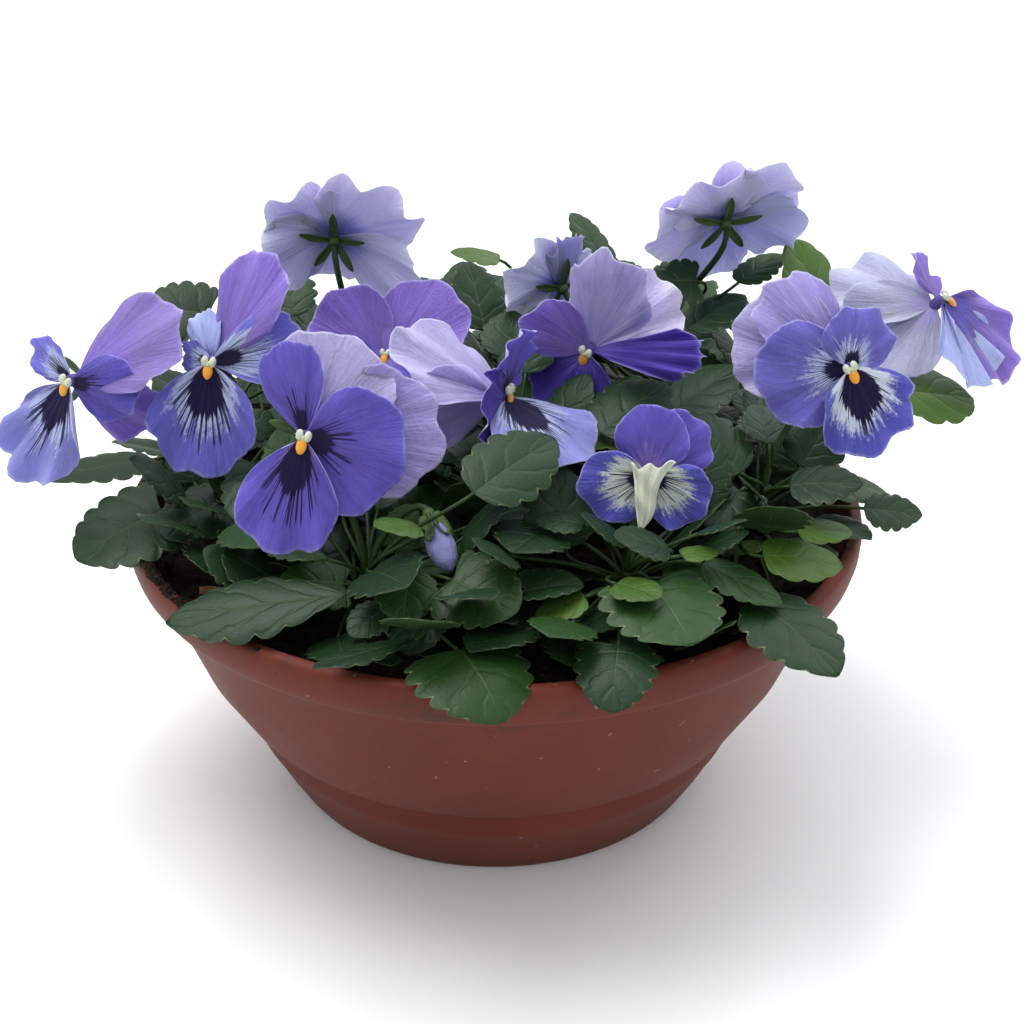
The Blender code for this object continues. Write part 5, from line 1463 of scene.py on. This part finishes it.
def add_leaf(skin, shoot, spec, draw, steps=STEPS_A_TOOTH, columns=LEAF_ACROSS, rings=STALK_RINGS):
    form = FORMS[spec.form]
    rows = form.teeth * steps
    edge = BLADE_START + BLADE_SPAN * np.arange(rows + 1) / rows
    across, along = np.meshgrid(columns, edge)
    side = np.where(across < 0, -1.0, 1.0)
    depth, puff = SCALLOP * form.depth, PUFF * spec.width
    grid = leaf_points(spec, side, np.abs(across), along, form.teeth, depth, puff)
    half = LEAF_HALF * (1 - 0.6 * np.abs(across) ** 6)
    points, faces = closed_sheet(grid, half)
    seed = draw.uniform(0, 50)
    place = twice(np.stack([across, along, np.full_like(across, seed)], axis=-1))
    grown = (DARK_LEAF, DARK_LEAF, DARK_LEAF, FRESH_LEAF)
    ground = YOUNG_LEAF if spec.form == "young" else draw.choice(grown)
    notch = np.abs(np.sin(form.teeth * math.pi * along)) < 0.2
    gland = (notch & (np.abs(across) > 0.97) & (along > 0.08) & (along < 0.97))[..., None]
    colours = np.where(gland, np.array(GLAND), np.array(ground))
    face = np.repeat([1.0, 0.0], across.size)
    finish = np.stack([face, np.ones_like(face), np.full_like(face, draw.uniform(0.85, 1.2))], axis=-1)
    skin.add(points, faces, place=place, finish=finish, ground=twice(colours))
    path = leaf_stalk_path(shoot, spec, rings)
    add_stalk(skin, path, (PETIOLE_RADIUS * 0.85, PETIOLE_RADIUS * 0.65), STALK_GREEN)


def add_stalk(skin, path, radii, colour, sides=7):
    points, faces, place = round_tube(path, radii, sides)
    skin.add(points, faces, place=place, finish=(1.0, 0.0, 1.0), ground=colour)


print("points in one leaf's grid:", (7 * STEPS_A_TOOTH + 1) * len(LEAF_ACROSS))

# %% Calyxes
SEPAL_GREEN = (0.050, 0.085, 0.022)
SEPAL_HALF = 0.25
CALYX_BEHIND, CALYX_LENGTH = 3.2, 3.4
CALYX_RADII = (1.4, 2.2, 2.5, 2.1)
BUD_SEPALS = {"width": 7.6, "ring": 2.4, "curl": -4}


def add_sepal(skin, flower, turn, lean, length=SEPAL_LENGTH, width=SEPAL_WIDTH, ring=SEPAL_RING, curl=18):
    """A pointed sepal that springs from the calyx and curls back."""
    ray, out = ray_on_face(flower, turn)
    side = np.cross(ray, out)
    along = turned(ray, side, lean)
    normal = np.cross(along, side)
    root = sepal_root(flower, ray, out, ring)
    across, t = np.meshgrid(np.linspace(-1, 1, 7), np.linspace(0, 1, 11))
    breadth = 0.5 * width * (0.42 + 0.9 * t) * (1 - t**2.2) ** 0.8 + 0.05
    y, z = bent(length * t, 0.12 * width * across**2, length, -curl)
    grid = root + (across * breadth)[..., None] * side + y[..., None] * along + z[..., None] * normal
    points, faces = closed_sheet(grid, SEPAL_HALF * np.ones_like(t))
    place = twice(np.stack([across * 0.9, t, np.full_like(t, turn)], axis=-1))
    skin.add(points, faces, place=place, finish=(0.9, 0.35, 1.0), ground=SEPAL_GREEN)


def add_calyx(skin, flower):
    out = direction(flower.azimuth, flower.elevation)
    foot = np.array(flower.at) - out * (calyx_depth(flower) + CALYX_BEHIND)
    path = [foot + out * step for step in np.linspace(0, CALYX_LENGTH, 6)]
    add_stalk(skin, path, CALYX_RADII, SEPAL_GREEN, 12)
    for turn, lean in sepal_leans.get(flower.name, ()):
        add_sepal(skin, flower, turn, lean)


def add_bud_calyx(skin, bud):
    for turn in range(0, 360, 72):
        add_sepal(skin, bud, turn, 78, length=0.68 * bud.length, **BUD_SEPALS)


print("sepals:", sum(len(kept) for kept in sepal_leans.values()))

# %% Shoots
draw = random.Random(23)
for shoot in SHOOTS:
    skin = Skin()
    stem_radii = (STEM_RADIUS * 1.2, STEM_RADIUS, STEM_RADIUS * 0.8)
    add_stalk(skin, stem_path(shoot, 14), stem_radii, STALK_GREEN, 12)
    for spec in grown_leaves[shoot.name]:
        add_leaf(skin, shoot, spec, draw)
    for spec in understory[shoot.name]:
        add_leaf(skin, shoot, spec, draw, FEW_STEPS, FEW_ACROSS, FEW_RINGS)
    for flower in BLOOMS + BUDS:
        if flower.shoot == shoot.name:
            path = flower_stalk_path(shoot, flower, *stalk_ways[flower.name], 20)
            add_stalk(skin, path, (STALK_RADIUS * 1.15, STALK_RADIUS), STALK_GREEN, 9)
            add_calyx(skin, flower)
    for bud in BUDS:
        if bud.shoot == shoot.name:
            add_bud_calyx(skin, bud)
    made = skin.make(shoot.name.replace("shoot", "foliage"), green, [shoot.name], "foliage")
    print(made.name, "has", len(made.data.polygons), "faces")

# %% [markdown]
# ## The bud
# A bud's petals are furled round one another like an umbrella. A spindle whose radius rises and falls
# with the angle, twisted along its length, gives the folds.

# %% Bud
BUD_VIOLET = (0.19, 0.185, 0.47)
BUD_SWELL = ((0, 0.3, 0.6, 0.85, 1), (0.5, 0.95, 1.0, 0.75, 0.2))
BUD_FOLDS, BUD_TWIST, BUD_FOLD_DEPTH = 2.5, 4.5, 0.16
BUD_FOOT = 0.4 - CALYX_DEPTH


def make_bud(bud):
    right, up, out = axes_facing(bud.azimuth, bud.elevation)
    around = np.linspace(0, 2 * math.pi, 40, endpoint=False)
    t, turn = np.meshgrid(np.linspace(0, 1, 24), around, indexing="ij")
    swell = np.interp(t, *BUD_SWELL) * bud.radius
    fold = (0.5 + 0.5 * np.sin(BUD_FOLDS * turn + BUD_TWIST * t)) ** 3
    radius = swell * (1 - BUD_FOLD_DEPTH * fold)
    reach = BUD_FOOT + (bud.length - BUD_FOOT) * t
    points = (np.array(bud.at) + (radius * np.cos(turn))[..., None] * right
              + (radius * np.sin(turn))[..., None] * up + reach[..., None] * out)
    skin = Skin()
    place = np.stack([np.sin(turn), t, 0 * t], axis=-1).reshape(-1, 3)
    skin.add(points.reshape(-1, 3), ring_faces(*t.shape), place=place, finish=(0.6, 0.0, 0.0),
             pattern=(0.0, 0.0, 1.0), ground=BUD_VIOLET, pale=VIOLET)
    return skin.make("bud", velvet, [bud.name], "petals")


for bud in BUDS:
    made = make_bud(bud)
print("the bud has", len(made.data.polygons), "faces")

# %% [markdown]
# ## Compost
# The compost is dark, damp and crumbly. Its surface is a fine disc that noise makes uneven, with many
# small crumbs and a few chips of bark lying on it. Some of it was spilt on the collar when the bowl was
# planted.

# %% Compost finish
DAMP_BLACK, DAMP_BROWN = (0.0055, 0.0042, 0.0033), (0.030, 0.020, 0.013)
DRY_FLECK = (0.085, 0.052, 0.030)


def compost_finish():
    crumbly = Recipe("dark compost", 0.95, Specular_IOR_Level=0.2)
    place = crumbly.object_place()
    lump = crumbly.noise(place, 160.0, 5.0, 0.6)
    grain = crumbly.noise(place, 900.0, 4.0, 0.7)
    colour = crumbly.mix(crumbly.rise(lump, 0.35, 0.7), DAMP_BLACK, DAMP_BROWN)
    colour = crumbly.mix(crumbly.rise(grain, 0.58, 0.72), colour, DRY_FLECK)
    crumbly.bump(crumbly.plus(lump, crumbly.times(grain, 0.5)), 0.8, 0.002)
    return crumbly.done(colour)


compost = compost_finish()
print("compost is ready")

# %% Compost
SOIL_RIM = 130.2
SOIL_SHOULDER, SOIL_SHOULDER_LEVEL = 127.3, 98.0
SOIL_FLOOR, SOIL_FLOOR_LEVEL = 112.0, 60.0
LUMP_HEIGHT = 0.8
CRUMBS, CRUMB_REACH = 2600, 128
CRUMB_CORNERS = ((1, 0, 0), (-1, 0, 0), (0, 1, 0), (0, -1, 0), (0, 0, 1), (0, 0, -1))
CRUMB_FACES = ((0, 2, 4), (2, 1, 4), (1, 3, 4), (3, 0, 4), (2, 0, 5), (1, 2, 5), (3, 1, 5), (0, 3, 5))


def soil_level(x, y):
    """The height of the compost at a place: a low dome with lumps."""
    reach = np.hypot(x, y) / SOIL_RIM
    dome = SOIL_CENTRE_LEVEL + (SOIL_EDGE_LEVEL - SOIL_CENTRE_LEVEL) * reach**2
    lumps = (np.sin(0.31 * x + 0.17 * y) * np.sin(0.23 * y - 0.11 * x)
             + 0.6 * np.sin(0.71 * x) * np.sin(0.63 * y + 1)
             + 0.4 * np.sin(1.3 * x + 0.9 * y) * np.sin(1.1 * y - 0.7 * x))
    return dome + LUMP_HEIGHT * lumps * np.minimum(1, 12 * (1.02 - reach))


def add_crumb(skin, place, size, draw):
    """A crumb: a lumpy eight-sided grain."""
    corners = np.array(CRUMB_CORNERS, float) * size * np.array([[draw.uniform(0.5, 1.2)] for _ in range(6)])
    spin = draw.uniform(0, 360)
    corners = np.array([turned(corner, np.array([0.0, 0.0, 1.0]), spin) for corner in corners])
    skin.add(corners + place, [list(face) for face in CRUMB_FACES])


def make_compost(draw):
    """The compost: an uneven disc on a plain tapering body, with crumbs strewn over it."""
    radius = SOIL_RIM * np.linspace(0.004, 1, 70) ** 0.9
    r, turn = np.meshgrid(radius, np.linspace(0, 2 * math.pi, 180, endpoint=False), indexing="ij")
    x, y = r * np.cos(turn), r * np.sin(turn)
    top = np.stack([x, y, soil_level(x, y)], axis=-1)
    low = top[-1].copy()
    low[:, 2] = SOIL_SHOULDER_LEVEL
    low[:, :2] *= SOIL_SHOULDER / SOIL_RIM
    foot = low.copy()
    foot[:, :2] *= SOIL_FLOOR / SOIL_SHOULDER
    foot[:, 2] = SOIL_FLOOR_LEVEL
    grid = np.concatenate([top, low[None], foot[None]])
    skin = Skin()
    skin.add(grid.reshape(-1, 3), [face[:1] + face[:0:-1] for face in ring_faces(*grid.shape[:2])])
    for _ in range(CRUMBS):
        reach, turn = CRUMB_REACH * math.sqrt(draw.random()), draw.uniform(0, 2 * math.pi)
        x, y = reach * math.cos(turn), reach * math.sin(turn)
        size = 0.5 + 2.4 * draw.random() ** 3
        add_crumb(skin, (x, y, float(soil_level(x, y)) + 0.3 * size), size, draw)
    return skin


print("corners of a crumb:", len(CRUMB_CORNERS))

# %% Crumbs spilt on the collar
SPILT = 1500
SPILL_FROM, SPILL_TO, SPILL_THICKEST = 176, 240, 204
SPILL_INNER, SPILL_BREADTH = 131.0, 7.6
SPILL_SLOPE = ((131.0, 134.5, 136.2, 138.8), (103.4, 115.2, 117.3, 116.5))


def add_spill(skin, draw):
    """Crumbs on the collar's inner slope and lip, thickest at one place on the left."""
    for _ in range(SPILT):
        turn = math.radians(draw.triangular(SPILL_FROM, SPILL_TO, SPILL_THICKEST))
        drop = draw.random() ** 1.6
        reach = SPILL_INNER + SPILL_BREADTH * (1 - drop)
        level = np.interp(reach, *SPILL_SLOPE)
        size = 0.35 + 1.3 * draw.random() ** 3
        add_crumb(skin, (reach * math.cos(turn), reach * math.sin(turn), level), size, draw)


draw = random.Random(5)
skin = make_compost(draw)
add_spill(skin, draw)
soil = skin.make("crumbly_compost", compost, ["soil"], "compost")
print("compost faces:", len(soil.data.polygons))

# %% Bark chips
CHIPS = ((-103, -58, 3.2), (-60, -100, 1.2), (30, -112, 1.0), (104, 20, 2.0), (-20, 100, 2.4), (60, 96, 1.6))
CHIP_OUTLINE = ((-1, -1), (1, -1), (1.3, 0.6), (0.2, 1.2), (-1, 1))
DARK_BARK, PALE_BARK = (0.20, 0.07, 0.025), (0.50, 0.25, 0.11)


def bark_finish():
    bark = Recipe("bark", 0.85)
    grain = bark.noise(bark.object_place(), 500.0, 4.0, 0.6)
    bark.bump(grain, 0.7, 0.001)
    return bark.done(bark.mix(grain, DARK_BARK, PALE_BARK))


def make_bark():
    """A few pale five-sided chips of bark among the crumbs."""
    skin = Skin()
    draw = random.Random(9)
    for x, y, size in CHIPS:
        level = float(soil_level(x, y))
        corners = [(a * draw.uniform(0.8, 1.2), b * draw.uniform(0.4, 0.7), c * draw.uniform(0.15, 0.3))
                   for c in (-1, 1) for a, b in CHIP_OUTLINE]
        points = np.array(corners) * size + (x, y, level + 0.55 * size)
        skin.add(points, ring_faces(2, len(CHIP_OUTLINE)))
    made = skin.make("bark_chips", bark_finish(), [], "compost")
    made.data.polygons.foreach_set("use_smooth", np.zeros(len(made.data.polygons), bool))
    return made


chips = make_bark()
print("bark chips:", len(CHIPS), "with", len(chips.data.polygons), "faces")

# %% [markdown]
# ## The bowl
# The bowl is moulded plastic the colour of fired clay. A smooth profile is turned round the axis with
# fine steps. Weather has left it matt, with a dusty bloom, brown smears of wet compost below the collar
# and pale specks.

# %% Stained plastic
DARK_CLAY, LIGHT_CLAY = (0.104, 0.0185, 0.0095), (0.134, 0.0255, 0.0135)
DUSTY_CLAY = (0.165, 0.050, 0.032)
WET_COMPOST = (0.050, 0.022, 0.014)
PALE_SPECK, DARK_GRIT = (0.30, 0.20, 0.15), (0.020, 0.012, 0.008)


def stained_plastic():
    plastic = Recipe("red-brown plastic", 0.5, Specular_IOR_Level=0.2)
    place = plastic.object_place()
    x, y, z = plastic.split(place)
    cloud = plastic.noise(place, 14.0, 4.0, 0.55)
    dust = plastic.noise(place, 55.0, 5.0, 0.65)
    grit = plastic.noise(place, 420.0, 2.0, 0.5)
    speck = plastic.noise(place, 260.0, 1.0, 0.4)
    upright = plastic.vector(plastic.times(x, 0.45), plastic.times(y, 0.45), z)
    smear = plastic.noise(upright, 90.0, 4.0, 0.6)
    colour = plastic.mix(plastic.rise(cloud, 0.3, 0.7), DARK_CLAY, LIGHT_CLAY)
    colour = plastic.mix(plastic.times(plastic.rise(dust, 0.50, 0.75), 0.18), colour, DUSTY_CLAY)
    high = plastic.rise(z, 0.070, 0.105)
    stain = plastic.times(plastic.rise(smear, 0.56, 0.72), plastic.plus(0.12, plastic.times(high, 0.5)))
    colour = plastic.mix(stain, colour, WET_COMPOST)
    colour = plastic.mix(plastic.times(plastic.rise(speck, 0.765, 0.79), 0.55), colour, PALE_SPECK)
    colour = plastic.mix(plastic.times(plastic.rise(grit, 0.74, 0.78), 0.7), colour, DARK_GRIT)
    plastic.bump(plastic.plus(plastic.times(dust, 0.6), plastic.times(grit, 0.4)), 0.18, 0.0008)
    return plastic.done(colour, plastic.plus(0.42, plastic.times(dust, 0.28)))


plastic = stained_plastic()
print("stained plastic has", len(plastic.node_tree.nodes), "nodes")

# %% The bowl's section
OUTSIDE = (
    (136.6, 117.0), (138.4, 116.5), (139.5, 115.0), (139.95, 112.5), (139.7, 108.0), (138.6, 104.0),
    (137.4, 102.2), (135.2, 100.6), (132.2, 99.4), (131.0, 98.6), (130.3, 97.4), (125.0, 83.0),
    (116.5, 61.0), (104.0, 40.0), (99.6, 36.2), (98.5, 35.0), (98.3, 33.5), (97.6, 27.5),
    (96.6, 25.2), (95.4, 23.5), (90.0, 12.5), (84.2, 2.4), (83.0, 0.7), (81.5, 0.0),
)
UNDERSIDE = ((69.0, 0.0), (68.0, 2.5), (54.0, 2.5), (53.0, 0.0), (0.5, 0.0))
INSIDE = (
    (0.5, 4.5), (81.0, 5.0), (93.0, 27.0), (95.0, 35.0), (112.5, 61.0), (120.4, 80.0), (128.0, 98.0),
    (130.4, 101.2), (131.2, 103.0), (133.0, 109.0), (134.4, 114.6), (134.9, 116.2), (135.6, 116.9),
)


def rounded(profile, steps):
    """A section with points added along each piece, so that smooth shading keeps its flats flat."""
    fine = []
    for start, end in zip(profile[:-1], profile[1:]):
        fine += [np.add(start, np.subtract(end, start) * t) for t in np.linspace(0, 1, steps, endpoint=False)]
    return np.array(fine + [profile[-1]])


BOWL_SIDES = 160
WOBBLE = 0.0007


def make_bowl():
    """The bowl: its section turned round the axis, very slightly out of round towards the rim."""
    section = rounded(INSIDE + OUTSIDE + UNDERSIDE, 2)
    turn = np.linspace(0, 2 * math.pi, BOWL_SIDES, endpoint=False)
    r, level = section[:, :1], np.broadcast_to(section[:, 1:], (len(section), len(turn)))
    wobble = 1 + WOBBLE * np.sin(3 * turn + 1) * (level / POT_HEIGHT)
    points = np.stack([r * wobble * np.cos(turn), r * wobble * np.sin(turn), level], axis=-1)
    skin = Skin()
    skin.add(points.reshape(-1, 3), ring_faces(len(section), len(turn)))
    return skin.make("bowl", plastic, ["pot"], "pot_plastic")


bowl = make_bowl()
print("bowl faces:", len(bowl.data.polygons))

# %% [markdown] ## Floor finish and the last count The floor is plain and pale, with the faintest
# unevenness.

# %% Floor finish
PALE_GREYS = ((0.88, 0.88, 0.88), (0.91, 0.91, 0.91))


def pale_floor():
    paint = Recipe("pale floor", 0.8)
    tone = paint.noise(paint.object_place(), 3.0, 2.0)
    return paint.done(paint.mix(tone, *PALE_GREYS))


floor.data.materials.append(pale_floor())

# %% Finish
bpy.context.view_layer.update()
fine = [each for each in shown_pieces() if each.type == "MESH"]
triangles = sum(len(face.vertices) - 2 for each in fine for face in each.data.polygons)
print("pieces:", len(fine), "triangles:", triangles)
